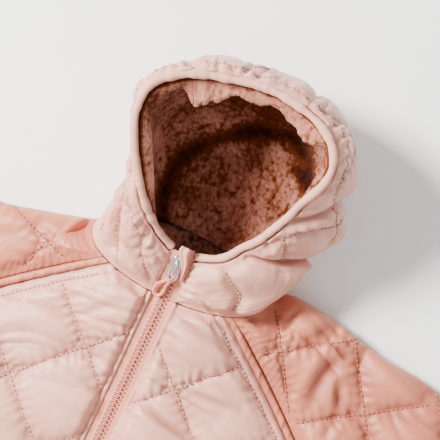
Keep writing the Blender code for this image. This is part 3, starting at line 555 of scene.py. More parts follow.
def hood_rows(u, starts, short, rows):
    """Row positions on the even grid, and the run at each, from the binding to short mm above the neck."""
    even = np.linspace(0, LAST, HOOD_GRID[0])
    length = np.interp(u, even, HOOD_RUN[:, -1])[:, None]
    start = np.interp(u, even, starts)[:, None] / (HOOD_GRID[1] - 1) * length
    run = start + (length - start - short) * rows[None, :]
    return run / length * (HOOD_GRID[1] - 1), run, length


def clear_of_binding(*surfaces):
    """Row position down each section of the even grid where surfaces come clear of the rim's binding."""
    line = rim_line(400)
    fine = np.linspace(0, 8, 81)
    starts = []
    for surface in surfaces:
        for section in surface:
            away = np.linalg.norm(spline(section, fine)[:, None] - line[None], axis=2).min(axis=1)
            starts.append(fine[np.argmax(away > BINDING_RADIUS + 2 * SEAM_GAP)])
    return np.reshape(starts, (len(surfaces), -1)).max(axis=0)


def gather_wave(u):
    """Height of the elastic's gathers along the rim, from 0 to their depth."""
    wave = np.zeros_like(u)
    for start, end, count, depth in GATHERS:
        within = (u >= start) & (u <= end)
        phase = (u - start) / (end - start) * count
        wave = np.where(within, 0.5 * depth * (1.0 - np.cos(2 * math.pi * phase)), wave)
    return wave


def crease_depth(points):
    """How far the creases pull the hood in at each point."""
    depth = np.zeros(points.shape[:2])
    for *line, width, deep in CREASES:
        depth = np.maximum(depth, deep * bell(to_line(points, line)[0], width))
    return depth * smooth((points[..., 2] - 12.0) / 12.0)


def rim_line(count):
    """Middle of the bound rim, half way through the hood's wall."""
    u, rim = np.linspace(0, LAST, count), np.zeros((count, 1))
    return (sample(HOOD_OUTER, u, rim)[:, 0] + sample(HOOD_RIM_IN, u, rim)[:, 0]) / 2


HOOD_OUTER, HOOD_RUN = hood_base()
HOOD_SHELL_IN = grown_in(HOOD_OUTER, SHELL_WALL, 4)
HOOD_LINING_OUT = grown_in(HOOD_SHELL_IN, LINING_CLEARANCE, 2)
HOOD_LINING_IN = grown_in(HOOD_LINING_OUT, LINING_WALL, 15)
HOOD_RIM_IN = grown_in(HOOD_OUTER, SHELL_RIM_WALL + LINING_CLEARANCE + LINING_RIM_WALL, 4)
SHELL_START = clear_of_binding(HOOD_OUTER, HOOD_SHELL_IN)
LINING_START = clear_of_binding(HOOD_LINING_OUT, HOOD_LINING_IN)


# Sleeves


def sleeve_lines(sleeve, v, share):
    """Plan lines of a sleeve along v: front edge, overarm fold and back edge."""
    lie = math.radians(sleeve["lie"])
    along = np.array([math.cos(lie), -math.sin(lie)])
    across = np.array([math.sin(lie), math.cos(lie)])
    pit = raglan(np.ones(1), PIPING_HALF + SEAM_GAP)[0]
    back_pit = raglan(np.ones(1), SEAM_GAP / 2, back=True)[0]
    cuff_low = pit + along * SLEEVE_UNDERARM
    cuff_high = cuff_low + across * CUFF
    bicep = pit + across * sleeve["bicep"]
    fold_top = neck(sleeve["crown"])[:2]
    knots = np.array([fold_top, *sleeve["fold"], bicep, bicep * 0.5 + cuff_high * 0.5, cuff_high])
    inner_stops = np.linspace(0.32, 0.8, len(sleeve["fold"])) * share
    stops = np.array([0, *inner_stops, share * 1.02, (1 + share) / 2, 1])
    fold = spline(knots, np.interp(v, stops, np.arange(len(knots))))
    up = np.clip(v / share, 0, 1)
    down = np.clip((v - share) / (1 - share), 0, 1)[:, None]
    beyond = (v > share)[:, None]
    front = np.where(beyond, mix(pit, cuff_low, down), raglan(up, PIPING_HALF + SEAM_GAP))
    back = np.where(beyond, mix(back_pit, cuff_low, down), raglan(up, SEAM_GAP / 2, back=True))
    return front, fold, back


# Fine detail


def hashed(cell, seed=0):
    """A fixed random number from -1 to 1 for each cell of whole numbers (..., 3)."""
    mixed = (cell[..., 0] * 73856093) ^ (cell[..., 1] * 19349663) ^ (cell[..., 2] * 83492791)
    mixed = (mixed + seed * 26544357) & 0x7FFFFFFF
    mixed = ((mixed ^ (mixed >> 15)) * 2246822519) & 0x7FFFFFFF
    mixed = ((mixed ^ (mixed >> 13)) * 3266489917) & 0x7FFFFFFF
    return ((mixed ^ (mixed >> 16)) & 0xFFFF) / 32767.5 - 1.0


def noise(points, size, seed=0):
    """Smooth noise from about -1 to 1 at points (..., 3), in lumps of about that many mm."""
    place = np.asarray(points, float) / size + 17.3 * (seed + 1)
    cell = np.floor(place).astype(np.int64)
    share = place - cell
    share = share * share * (3.0 - 2.0 * share)
    total = np.zeros(place.shape[:-1])
    for corner in np.ndindex(2, 2, 2):
        weight = np.prod(np.where(corner, share, 1.0 - share), axis=-1)
        total += weight * hashed(cell + np.array(corner), seed)
    return 1.4 * total


def tufts(points, size, seed=0):
    """Pile: 1 at the crown of each tuft, about that many mm across, and 0 between tufts."""
    place = np.asarray(points, float) / size
    cell = np.floor(place).astype(np.int64)
    nearest = np.full(place.shape[:-1], 9.0)
    for corner in np.ndindex(3, 3, 3):
        at = cell + np.array(corner) - 1
        crown = at + 0.5 + 0.45 * xyz(*(hashed(at, seed + k) for k in range(3)))
        nearest = np.minimum(nearest, np.sum((place - crown) ** 2, axis=-1))
    return np.clip(1.0 - nearest / 1.05, 0.0, 1.0)


def wrinkles(across, along, seed=0):
    """Soft ridges with sharp valleys between them, drawn out along one way of the cloth, in mm."""
    flat = xyz(across, along, 0.0)
    bent = across + 7.0 * noise(flat, 45.0, seed + 1)
    broad = noise(xyz(bent / 13.0, along / 55.0, 0.0), 1.0, seed + 2)
    fine = noise(xyz(bent / 6.0, along / 24.0, 0.0), 1.0, seed + 3)
    where = 0.6 + 0.6 * noise(flat, 50.0, seed + 4)
    return 2.6 * (np.abs(broad) ** 0.8 - 0.4) + 0.8 * (np.abs(fine) ** 0.8 - 0.4) * where


def folds(points, table, ridges=0.4):
    """Depth of a table's folds at points, each with a soft ridge along both sides."""
    total = np.zeros(points.shape[:2])
    for width, depth, *line in table:
        away, at = to_line(points, line)
        taper = np.sqrt(np.sin(math.pi * np.clip(at, 0.05, 0.95)))
        total += depth * taper * (bell(away, width) - ridges * bell(away / width - 2.2, 0.9))
    return total


def puckers(lines, along, points, seed=0):
    """Small ripples across a stitch line. lines is the distance to it and along the place on it, in mm."""
    drift = 1.2 * noise(points, 22.0, seed)
    ripple = np.cos(2 * math.pi * along / PUCKER_PITCH + 3.0 * drift)
    reach = bell(lines, PUCKER_REACH) * smooth(lines / 2.0)
    return PUCKER_DEPTH * ripple * reach * (0.7 + 0.3 * noise(points, 30.0, seed + 5))


def quilting(a, b, period, points, seed=0):
    """Puckers of both sets of quilt lines, and the slow waves of the thin shell cloth, in mm."""
    pitch = period / math.sqrt(2.0)
    total = puckers(np.abs(a - np.round(a)) * pitch, b * pitch, points, seed)
    total += puckers(np.abs(b - np.round(b)) * pitch, a * pitch, points, seed + 1)
    return total + 0.8 * noise(points, 30.0, seed + 2) + 0.25 * noise(points, 12.0, seed + 3)


def plump(a, b):
    """Loft of a quilted cell: flat on its stitch lines, steep beside them and nearly flat on top."""
    return np.clip((np.abs(np.sin(math.pi * a) * np.sin(math.pi * b)) - 0.055) / 0.945, 0.0, 1.0) ** 0.5


def quilted_wall(edge, loft):
    """Thickness of body cloth: that of a seam at its edge, else between a stitch line's and a puff's."""
    return SEAM_WALL + edge * (STITCH_WALL - SEAM_WALL + (PUFF_WALL - STITCH_WALL) * loft)


def cloth_painted_shade(detail, loft, edge, drawn):
    """Painted shade of shell cloth, as a tone: 1 on its puffs, less in valleys and folds, beside stitch lines
    and at seams.
    """
    tone = 0.97 + 0.12 * detail - 0.5 * (1.0 - loft) * smooth(edge) - 0.25 * fade(edge * 1.5)
    return np.clip(tone - 0.16 * np.maximum(drawn, 0.0), 0.0, 1.0)


def crossings(points, normals, keep, *fields):
    """Runs of points and normals where fields on a grid pass whole numbers, row by row."""
    runs = []
    for field in fields:
        for level in range(math.ceil(field.min()), math.floor(field.max()) + 1):
            run = []
            for j in range(field.shape[1]):
                from_level = field[:, j] - level
                at = np.nonzero((from_level[:-1] * from_level[1:] <= 0) & keep[:-1, j])[0]
                if len(at):
                    i = at[0]
                    share = from_level[i] / (from_level[i] - from_level[i + 1] + 1e-12)
                    run.append(np.concatenate([mix(points[i, j], points[i + 1, j], share), normals[i, j]]))
                if run and (not len(at) or j == field.shape[1] - 1):
                    runs.append(np.array(run))
                    run = []
    return [run for run in runs if len(run) > 2]


def turned(side, outer, inner, runs=()):
    """Moves a panel made as if on the left to its own side."""
    for face in (outer, inner):
        face[..., 0] *= side
    for run in runs:
        run[:, [0, 3]] *= side


# Makers


def placed(name, data):
    """Puts a mesh, curve, lamp or camera in the scene."""
    obj = bpy.data.objects.new(name, data)
    bpy.context.scene.collection.objects.link(obj)
    return obj


def dressed(name, data, coats, slot, *nodes):
    """Puts a piece in the scene that rides on the jacket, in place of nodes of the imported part."""
    obj = placed(name, data)
    for coat in coats:
        data.materials.append(coat)
    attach(obj, "root")
    if nodes:
        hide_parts(*nodes)
    return obj


def mesh_of(name, points, faces, parts=None):
    """A smooth mesh of points in mm, facing outwards, with a material number for each face."""
    mesh = bpy.data.meshes.new(name)
    mesh.from_pydata((np.asarray(points) * MM).tolist(), [], faces)
    if parts is not None:
        mesh.polygons.foreach_set("material_index", parts)
    bm = bmesh.new()
    bm.from_mesh(mesh)
    bmesh.ops.recalc_face_normals(bm, faces=bm.faces[:])
    if bm.calc_volume(signed=True) < 0:
        bmesh.ops.reverse_faces(bm, faces=bm.faces[:])
    bm.to_mesh(mesh)
    bm.free()
    mesh.shade_smooth()
    return mesh


def grid_faces(number):
    """Four-cornered faces of a grid of point numbers."""
    corners = (number[:-1, :-1], number[1:, :-1], number[1:, 1:], number[:-1, 1:])
    return np.stack(corners, axis=-1).reshape(-1, 4).tolist()


def cloth_mesh(name, fine, backing, coats, slot, node, tone=None, every=4):
    """A closed wall: a fine grid, every few points of the grid behind it, and faces round their edges."""
    m, n = fine.shape[:2]
    columns, rows = (np.append(np.arange(0, count - 1, every), count - 1) for count in (m, n))
    front = np.arange(m * n).reshape(m, n)
    back = m * n + np.arange(len(columns) * len(rows)).reshape(len(columns), len(rows))
    faces = grid_faces(front) + grid_faces(back)
    parts = [0] * ((m - 1) * (n - 1)) + [len(coats) - 1] * ((len(columns) - 1) * (len(rows) - 1))
    sides = (
        (front[:, 0], back[:, 0], columns), (front[:, -1], back[:, -1], columns),
        (front[0], back[0], rows), (front[-1], back[-1], rows),
    )
    for near, far, stops in sides:
        for k in range(len(stops) - 1):
            run = near[stops[k]:stops[k + 1] + 1].tolist()
            faces.append([*run, int(far[k + 1]), int(far[k])])
            parts.append(0)
    points = np.concatenate([fine.reshape(-1, 3), backing[np.ix_(columns, rows)].reshape(-1, 3)])
    mesh = mesh_of(name, points, faces, parts)
    if tone is not None:
        # The tone carries the painted light and shade that the colour ramp turns into colour.
        layer = mesh.attributes.new("tone", "FLOAT", "POINT")
        layer.data.foreach_set("value", np.append(tone.ravel(), np.zeros(len(points) - tone.size)))
    return dressed(name, mesh, coats, slot, node)


def sweep(points, up, wide, high, sides):
    """Points and faces of a closed tube along points, that wide across and that high from its middle."""
    ups = np.broadcast_to(np.asarray(up, float), points.shape)
    along = unit(np.gradient(points, axis=0))
    ups = unit(ups - along * np.sum(ups * along, axis=1, keepdims=True))
    wide, high = (np.broadcast_to(size, len(points))[:, None, None] for size in (wide, high))
    turn = np.arange(sides) * 2 * math.pi / sides
    ring = np.cross(along, ups)[:, None] * (wide * np.cos(turn)[None, :, None])
    ring = points[:, None] + ring + ups[:, None] * (high * np.sin(turn)[None, :, None])
    number = np.arange(len(points) * sides).reshape(len(points), sides)
    faces = grid_faces(np.concatenate([number, number[:, :1]], axis=1))
    return ring.reshape(-1, 3), faces + [number[0].tolist(), number[-1, ::-1].tolist()]


def joined(name, parts, coat, slot, *nodes):
    """One piece of closed shapes, each its points and faces."""
    points, faces, start = [], [], 0
    for some, theirs in parts:
        points.append(some)
        faces += [[start + i for i in face] for face in theirs]
        start += len(some)
    return dressed(name, mesh_of(name, np.concatenate(points), faces), [coat], slot, *nodes)


def stitch_rows(runs, first, knots):
    """Points and normals at knots round each place along runs, a stitch and its gap apart."""
    for run in runs:
        at = run_of(run[:, :3])
        for start in np.arange(first, at[-1] - knots[-1], STITCH + STITCH_GAP):
            row = along_run(start + knots, at, run)
            yield row[:, :3], row[:, 3:]


def stitches(runs):
    """Small rounded stitches along runs of points and normals, each sunk at its ends."""
    lift = THREAD * np.array([-0.9, 0.3, 0.7, 0.3, -0.9])[:, None]
    size = THREAD * np.array([0.35, 0.9, 1.0, 0.9, 0.35])
    rows = stitch_rows(runs, 0.5 * STITCH_GAP, STITCH * np.array([0.0, 0.18, 0.5, 0.82, 1.0]))
    return [sweep(points + normals * lift, normals, size, size, 5) for points, normals in rows]


def hole_shade_marks(runs):
    """Dark marks of painted shade for the dimples where the needle pulled the cloth in, one between each
    stitch and the next.
    """
    wide = HOLE * np.array([0.5, 1.1, 1.1, 0.5])
    rows = stitch_rows(runs, STITCH + STITCH_GAP, HOLE * np.array([-1.0, -0.5, 0.5, 1.0]))
    return [sweep(points + 0.15 * normals, normals, wide, HOLE * 0.4, 5) for points, normals in rows]


def sewing(name, runs, thread, hole, slot):
    """The stitches of one panel and, between them, the painted shade of each needle hole."""
    return [joined(name, stitches(runs), thread, slot), joined(name + "_holes", hole_shade_marks(runs), hole, slot)]


# Panels of cloth: each gives its fine face, the face behind it, and the runs of its stitches


def rows_down(share, upper, lower):
    """Rows down a panel, as finely cut above the underarm as asked, and then below it."""
    return np.concatenate([np.linspace(0, share, upper), np.linspace(share, 1, lower + 1)[1:]])


def side_line(v, share, shift, short, back=False):
    """A body panel's outer edge: down its raglan seam to the underarm, then down its side to the hem."""
    seam = raglan(np.clip(v / share, 0, 1), shift, back)
    down = np.clip((v - share) / (1 - share), 0, 1)
    x = np.where(v < share, seam[..., 0], mix(UNDERARM[0] - 2, HEM_HALF, down))
    return x, np.where(v < share, seam[..., 1], seam[..., 1] + (HEM_Y - UNDERARM[1] + short) * down)


def front_cloth(side):
    """One quilted front, from the zip to its raglan and side seams."""
    columns, *rows = FRONT_FINE
    share = UNDERARM[1] / HEM_Y
    u, v = np.linspace(0, 1, columns)[:, None], rows_down(share, *rows)[None, :]
    out_x, out_y = side_line(v, share, -PIPING_HALF - SEAM_GAP, 2)
    x, y = mix(ZIP_HALF, out_x, u), mix(HEM_Y * v, out_y, u)
    from_zip, from_seam = x - ZIP_HALF, (out_x - x) * 0.65
    edge = np.minimum.reduce([
        from_zip / 9.0,
        (out_x - x) * np.where(v < share, 0.65, 1.0) / EDGE_ROUND,
        neck_ring(x, y)[1] / 9.0,
        (y - HEM_Y) / 10.0,
    ])
    a, b = (x + y - FRONT_QUILT[0]) / QUILT, (y - x - FRONT_QUILT[1]) / QUILT
    cell = plump(a, b)
    low = front_inner_z(x, y)
    angles = mix(ZIP_ANGLE, RAGLAN_ANGLE - PIPING_ANGLE, u[:, 0])
    faces = xyz(x, y, low + quilted_wall(smooth(edge), cell)), xyz(x, y, low)
    outer, inner = neck_blend(angles, v / share, faces)
    detail = quilting(a, b, QUILT, outer, FRONT_SEED + side) * smooth(edge * 1.2)
    detail += wrinkles(y + 0.17 * x, x - 0.17 * y, FRONT_WRINKLES + side) * smooth(edge * 0.9)
    detail += 0.7 * bell(from_zip - 1.0, 0.8) - 1.6 * bell(from_zip - 2.8, 0.7)
    detail += puckers(np.abs(from_seam - TOPSTITCH), v * RAGLAN_RUN, outer, FRONT_SEED + 4 + side) * 0.8
    detail -= 0.8 * bell(from_seam - TOPSTITCH, 1.3) * smooth(from_seam / 3.0)
    detail += puckers(from_zip, y, outer, FRONT_SEED + 6 + side) * 0.8
    drawn = folds(outer, FOLDS["front_left" if side > 0 else "front_right"])
    detail = detail - drawn - 1.5 * bell(from_seam, 1.2)
    outer = outer + grid_normals_up(outer) * detail[..., None]
    normals = grid_normals_up(outer)
    runs = crossings(outer, normals, (edge > 0.3) & (v > 0.02), a, b)
    beside_seam = (v > 0.02) & (v < share) & (y > HEM_Y + 6) & (np.abs(from_seam - TOPSTITCH) < 3)
    runs += crossings(outer, normals, beside_seam, from_seam / TOPSTITCH)
    turned(side, outer, inner, runs)
    # Painted seam shade: a narrower band of it beside the zip.
    edge = np.where(from_zip < 9.0, np.minimum(from_zip / 3.0, 1.0), edge)
    return outer, inner, runs, cloth_painted_shade(detail, cell, edge, drawn)


def back_cloth():
    """The back panel: its plain underside, and the pile inside it that shows through the neck."""
    columns, *rows = BACK_FINE
    share = BACK_SHARE
    u, v = np.linspace(-1, 1, columns)[:, None], rows_down(share, *rows)[None, :]
    half, side_y = side_line(v, share, -SEAM_GAP / 2, 0, back=True)
    x, y = half * u, mix(mix(2 * NECK_HALF_DEPTH, HEM_Y, v), side_y, np.abs(u) ** 1.2)
    edge = np.minimum((half - np.abs(x)) * np.where(v < share, 0.75, 1.0) / EDGE_ROUND, (y - HEM_Y) / 12.0)
    low = (BACK_WALL - SEAM_WALL) * fade(edge) * smooth(v / share * 2.0)
    angles = mix(BACK_RAGLAN_ANGLE + BACK_SEAM_ANGLE, 180, 1 - np.abs(u[:, 0]))
    mirror = xyz(np.where(u < 0, -1.0, 1.0), 1.0, 1.0)
    outer, inner = neck_blend(angles, v / share, (xyz(x, y, low), xyz(x, y, back_inner_z(x, y))), mirror)
    near_neck = smooth((y + 60.0) / 40.0) * smooth((70.0 - np.abs(x)) / 10.0)
    pile, tone = pile_height(inner, BACK_SEED)
    inner[..., 2] += np.where(near_neck > 0, np.minimum(pile, 3.0) * near_neck, 0)
    return inner, outer, tone


def piping_cloth(side):
    """The flat strip in a front raglan seam, slightly twisted along its length."""
    u, v = np.linspace(-1, 1, PIPING_FINE[0])[:, None], np.linspace(0, 1, PIPING_FINE[1])[None, :]
    x, y = np.moveaxis(raglan(v, u * (PIPING_HALF - 0.15)), -1, 0)
    low = front_inner_z(x, y)
    crown = SEAM_WALL + 1.9 - 2.6 * u**4 - 0.4 * u**2
    angles = RAGLAN_ANGLE + (PIPING_ANGLE - 0.5) * u[:, 0]
    outer, inner = neck_blend(angles, v, (xyz(x, y, low + crown), xyz(x, y, low)))
    ripple = 0.5 * noise(xyz(v * PIPING_RUN + u * 3.5, 0.0, 0.0), 4.2, PIPING_SEED + side)
    ripple += 0.25 * noise(outer, 3.0, PIPING_SEED + 2)
    outer[..., 2] += ripple * (1.0 - 0.6 * u**2) * smooth(v * 20.0)
    turned(side, outer, inner)
    # Painted light and shade: the tone is lighter on the ripples' crests and darker towards the strip's
    # edges.
    return outer, inner, np.clip(0.85 + 0.45 * ripple - 0.7 * np.abs(u) ** 3, 0.0, 1.0)


def sleeve_cloth(name):
    """One quilted sleeve: over the arm, round its fold and back under it to the raglan's back seam."""
    sleeve = SLEEVES[name]
    side, share = sleeve["side"], SLEEVE_SHARE
    v = rows_down(share, *SLEEVE_ROWS)
    top, turn, under = SLEEVE_AROUND

    def around(*stops):
        """Even steps over the sleeve, round its fold and under it."""
        over, bend, below = map(np.linspace, stops, stops[1:], (top, turn + 2, under))
        return np.concatenate([over, bend[1:-1], below])

    front, fold, back = sleeve_lines(sleeve, v, share)
    out = unit(fold - 0.5 * (front + back))
    near_neck = fade(v / share / 0.4)[:, None]
    radius = FOLD_RADIUS - (FOLD_RADIUS - NECK_FOLD_RADIUS) * near_neck
    inward = (back - fold) * 0.45 * near_neck - out * radius * (1.0 - near_neck)
    centre = fold + inward
    tight = np.maximum(radius - BACK_WALL, 1.5) / radius
    over = mix(front, centre, np.linspace(0, 1, top)[:, None, None])
    below = mix(centre, back, np.linspace(0, 1, under)[1:, None, None])
    swing = np.radians(np.linspace(90, -90, turn + 2)[1:-1])[:, None, None]
    plan_out, plan_in = (
        np.concatenate([over, centre - inward * reach * np.cos(swing), centre[None], below])
        for reach in (1.0, tight)
    )

    before, after = sleeve["crown"] - FOLD_TURN, sleeve["crown"] + FOLD_TURN
    angles = around(RAGLAN_ANGLE + PIPING_ANGLE, before, after, BACK_RAGLAN_ANGLE - BACK_SEAM_ANGLE)
    neck_out, neck_in = neck(angles)[:, None], neck(angles, NECK_WALL)[:, None]
    far_blend, near_blend = (fade(v / share / reach)[None, :, None] for reach in (SLEEVE_BLEND, NECK_BLEND))
    coarse = around(0, 8, 14, 16)[:, None, None]
    inside = smooth(np.minimum(coarse, 16 - coarse) / 4.0)
    shift = (neck_out[..., :2] - plan_out[:, :1]) * mix(near_blend, far_blend, inside)
    depth = (plan_in - plan_out) * (1.0 - near_blend) + (neck_in - neck_out)[..., :2] * near_blend
    plan_out = plan_out + shift
    plan_in = plan_out + depth

    x, y = plan_out[..., 0], plan_out[..., 1]
    p, q = rotated(x - SLEEVE_CROSSING[0], y - SLEEVE_CROSSING[1], sleeve["grain"])
    lines = (p + q) / SLEEVE_QUILT, (p - q) / SLEEVE_QUILT
    cell = plump(*lines)
    from_front, from_back = (np.linalg.norm(plan_out - line, axis=2) for line in (front, back))
    to_cuff = (1.0 - v) * SLEEVE_UNDERARM / (1.0 - share) + 0 * x
    edge = smooth(np.minimum.reduce([from_front / EDGE_ROUND, neck_ring(x, y)[1] / 30.0, to_cuff / 10.0]))
    low, back_z = front_inner_z(x, y), back_inner_z(x, y)
    top_z = low + quilted_wall(edge, cell)
    under_z = (back_z - SEAM_WALL) * fade(np.minimum(from_back / EDGE_ROUND, to_cuff / 10.0))
    rise = np.concatenate([np.ones(top), np.sin(swing[:, 0, 0]), -np.ones(under)])[:, None]
    share_up = 0.5 * (1.0 + rise)
    z_out = np.where(rise >= 1, top_z, mix(under_z[top + turn], top_z[top - 1], share_up))
    z_out = np.where(rise <= -1, under_z, z_out)
    z_in = np.where(rise >= 1, low, mix(back_z, low[top - 1], share_up))
    outer, inner = xyz(x, y, z_out), xyz(plan_in[..., 0], plan_in[..., 1], z_in)
    outer[..., 2:] += (neck_out[..., 2:] - outer[:, :1, 2:]) * near_blend
    inner[..., 2:] += (neck_in[..., 2:] - inner[:, :1, 2:]) * near_blend

    normals = grid_normals(outer)
    normals *= np.sign(normals[top // 2, len(v) // 2, 2])
    along, over_it = rotated(x, y, sleeve["lie"])
    detail = quilting(*lines, SLEEVE_QUILT, outer, SLEEVE_SEED + side) * edge
    detail += wrinkles(over_it, along, SLEEVE_WRINKLES + side) * edge
    detail += puckers(np.abs(from_front - TOPSTITCH), v * SLEEVE_RUN, outer, SLEEVE_SEED + 5) * 0.8
    drawn = folds(outer, FOLDS["sleeve_left"]) if name == "left" else np.zeros(x.shape)
    detail = detail - 0.6 * bell(from_front, 1.2) - drawn
    outer = outer + normals * (detail * np.clip(share_up * 1.5 - 0.5, 0, 1))[..., None]
    outer[..., 2] = np.maximum(outer[..., 2], 0.0)
    runs = crossings(outer, normals, (edge > 0.12) & (share_up > 0.6) & (v > 0.02), *lines)
    turned(side, outer, inner, runs)
    return outer, inner, runs, cloth_painted_shade(detail, cell, edge, drawn)


def pile_height(points, seed):
    """Height of the pile's curled tufts at points, in mm, and its tone from 0 in a hollow to 1 on a crown,
    which paints shade into the hollows between the tufts.
    """
    bent = points + 0.9 * xyz(*(noise(points, 4.0, seed + k) for k in range(3)))
    big, small = tufts(bent, TUFT, seed + 3), tufts(bent * 1.05 + 7.0, 0.45 * TUFT, seed + 6)
    height = 0.72 * np.sqrt(big) + 0.28 * small + 0.14 * noise(points, 14.0, seed + 9)
    return PILE_DEPTH * height, np.clip(height, 0.0, 1.2) / 1.2


def sections(first, last, fine):
    """Sections of one hood panel, when the whole hood has that many columns."""
    return np.linspace(first, last, int((last - first) / LAST * fine))


def between(u, start, end):
    """1 between two sections of the hood, fading to 0 just outside them."""
    return smooth((u - start) / 1.5 + 0.5) * smooth((end - u) / 1.5 + 0.5)


def elastic_pull(u):
    """How strongly the elastic gathers the rim at sections u."""
    return sum(between(u, start, end) for start, end, _, _ in GATHERS)


def hood_cloth(first, last, seed, lines):
    """The quilted shell of one hood panel: its fine face, the face behind it and its stitches."""
    u = sections(first, last, HOOD_FINE[0])
    at, from_rim, length = hood_rows(u, SHELL_START, 3 * SEAM_GAP, np.linspace(0, 1, HOOD_FINE[1]))
    to_neck, column = length - from_rim, u[:, None]
    base, inner = sample(HOOD_OUTER, u, at), sample(HOOD_SHELL_IN, u, at)
    thin = fade(np.minimum(from_rim, to_neck) / 12.0)[..., None]
    inner = inner + (base - inner) * thin * (1.0 - SHELL_RIM_WALL / SHELL_WALL)
    angle = spline(np.array(HOOD_SECTIONS, float)[:, :1], u)[:, 0]
    end_in = base[:, -1] + neck(angle, SHELL_RIM_WALL) - neck(angle)
    inner = inner + (end_in - inner[:, -1])[:, None] * fade(to_neck / 8.0)[..., None]
    normal = unit(sample(grid_normals(HOOD_OUTER), u, at))
    across = run_of(base)
    middle, from_seam = across - 0.5 * across[-1], np.minimum(across, across[-1] - across)
    ends = np.minimum(to_neck / 14.0, from_rim / 14.0)
    edge = np.minimum(from_seam / 10.0, ends)
    slant = HOOD_SLANT * from_rim
    a, b = (middle + slant - lines[0]) / HOOD_QUILT, (middle - slant - lines[1]) / HOOD_QUILT
    pressed = 1.0 - CREASE_PRESS * np.minimum(crease_depth(base) / 3.0, 1.0)
    puff = SHELL_PUFF * (1.0 - sum(less * between(column, start, end) for start, end, less in FLATTER))
    calm = smooth((column - CALM) / 0.8)
    from_line = column - COLLAR_LINE[0] + (COLLAR_LINE[0] - COLLAR_LINE[1]) * from_rim / length
    cell = mix(plump(a, b), 1.0 - bell(from_line * 20.0, 3.0), calm)
    loft = puff * smooth(ends) * (0.3 + 0.7 * cell * smooth(edge)) * pressed
    loft -= 1.6 * bell(from_seam, 2.0) * smooth(ends)
    below_binding = from_rim - from_rim[:, :1]
    gathers = 0.4 * gather_wave(column) * bell(from_rim, GATHER_REACH) * smooth(below_binding / 4.0)
    gathers += rim_puckers(base, column, from_rim, across, seed) * smooth(below_binding / 3.0)
    rest = smooth((base[..., 2] - 1.0) / 8.0)
    detail = quilting(a, b, HOOD_QUILT, base, seed)
    detail += 0.55 * wrinkles(across, from_rim * 1.3, seed + 12)
    detail *= smooth(edge * 1.1) * (1.0 - 0.75 * calm)
    cased = smooth((column - 1.0) * 1.5) * smooth((CASING_END - column) * 1.5)
    detail -= 0.8 * bell(from_rim - CASING, 1.6) * cased
    for away in (across, across[-1] - across):
        detail += puckers(away, from_rim, base, seed + 8) * 1.2
    drawn = folds(base, FOLDS["hood"])
    detail -= drawn + folds(base, SWELLS, 0.0)
    outer = base + normal * ((loft + gathers + detail) * rest)[..., None]
    outer[..., 2] = np.maximum(outer[..., 2], 0.0)
    keep = (edge > 0.55) & (rest > 0.5)
    runs = crossings(outer, normal, keep & (calm < 0.5), a, b)
    runs += crossings(outer, normal, keep & (np.abs(from_line) < 0.3), from_line)
    near_casing = (np.abs(from_rim - CASING) < 4.0) & (cased > 0.5)
    runs += crossings(*(np.swapaxes(grid, 0, 1) for grid in (outer, normal, near_casing, from_rim / CASING)))
    # Painted shade of the cloth: its seam shade is kept faint except within 2.5 mm of a side seam.
    return outer, inner, runs, cloth_painted_shade(detail, cell, np.maximum(edge, 0.4 * (from_seam > 2.5)), drawn)


def rim_puckers(points, column, from_rim, across, seed):
    """Fine gathers that run from the elastic binding into the shell, deepest where it pulls most."""
    bend = across + 4.0 * noise(points, 25.0, seed + 20)
    ridges = noise(xyz(bend, 0.12 * from_rim, 0.0), 5.5, seed + 21)
    ridges += 0.6 * noise(xyz(bend, 0.2 * from_rim, 0.0), 2.6, seed + 22)
    return np.clip(elastic_pull(column), 0.15, 1.0) * 1.3 * ridges * bell(from_rim, 19.0)


def pile_cloth(first, last):
    """The pile lining of one hood panel: its fine tufted face, the plain face behind it and its tone of
    painted light and shade.
    """
    u = sections(first, last, PILE_FINE[0])
    rows = np.interp(np.linspace(0, 1, PILE_FINE[1]), (0.0, 0.18, 1.0), (0.0, 0.07, 1.0))
    at, from_rim, _ = hood_rows(u, LINING_START, 0.0, rows)
    outer, inner = sample(HOOD_LINING_OUT, u, at), sample(HOOD_LINING_IN, u, at)
    inner = inner + (outer - inner) * fade(from_rim / 12.0)[..., None] * (1.0 - LINING_RIM_WALL / LINING_WALL)
    inwards = -unit(sample(grid_normals(HOOD_LINING_IN), u, at))
    height, tone = pile_height(inner, PILE_SEED)
    soft = 2.0 * noise(inner, 38.0, PILE_SEED + 12) + 1.2 * noise(inner, 20.0, PILE_SEED + 13)
    below_binding = from_rim - from_rim[:, :1]
    lobes, rolled = 0.0, 0.0
    for section, half, down, reach, rise in LOBES:
        off = ((u[:, None] - section) / half) ** 4
        lobes = lobes + rise * np.exp(-off - (np.maximum(from_rim - down, 0.0) / reach) ** 2)
        rolled = rolled + np.exp(-off)
    lobes = lobes * smooth(below_binding / 5.0)
    lobes = lobes * (0.75 + 0.35 * noise(inner, 9.0, LOBE_SEED) + 0.2 * noise(inner, 5.0, LOBE_SEED + 1))
    rolled = np.minimum(rolled, 1.0) * smooth((24.0 - from_rim) / 8.0) * smooth(below_binding / 4.0)
    # Painted light and shade in the pile's tone: shade in the floor crease, deeper in the hood, under the top
    # of the rim and in the dark corner; light on the wall fold and on the lobes and their rolled edge.
    dip, dark = floor_crease(inner)
    fold, light = wall_fold(inner)
    light -= 0.05 * smooth((from_rim - 22.0) / 14.0) + 0.19 * shaded_wall(inner, from_rim)
    light -= 0.16 * between(u, *DARK_CORNER)[:, None] * smooth((28.0 - from_rim) / 10.0)
    light += 0.03 * rolled
    lift = (height + soft) * smooth(below_binding / 4.0) + lobes - dip + fold + 0.2
    pile = inner + inwards * lift[..., None]
    curl, curl_tone = pile_height(pile, CURL_SEED)
    pile = pile - grid_normals(pile) * (0.9 * curl * rolled)[..., None]
    tone = mix(tone, curl_tone, rolled)
    return pile, outer, np.clip(tone - dark + 0.006 * lobes + light, 0.0, 1.2)


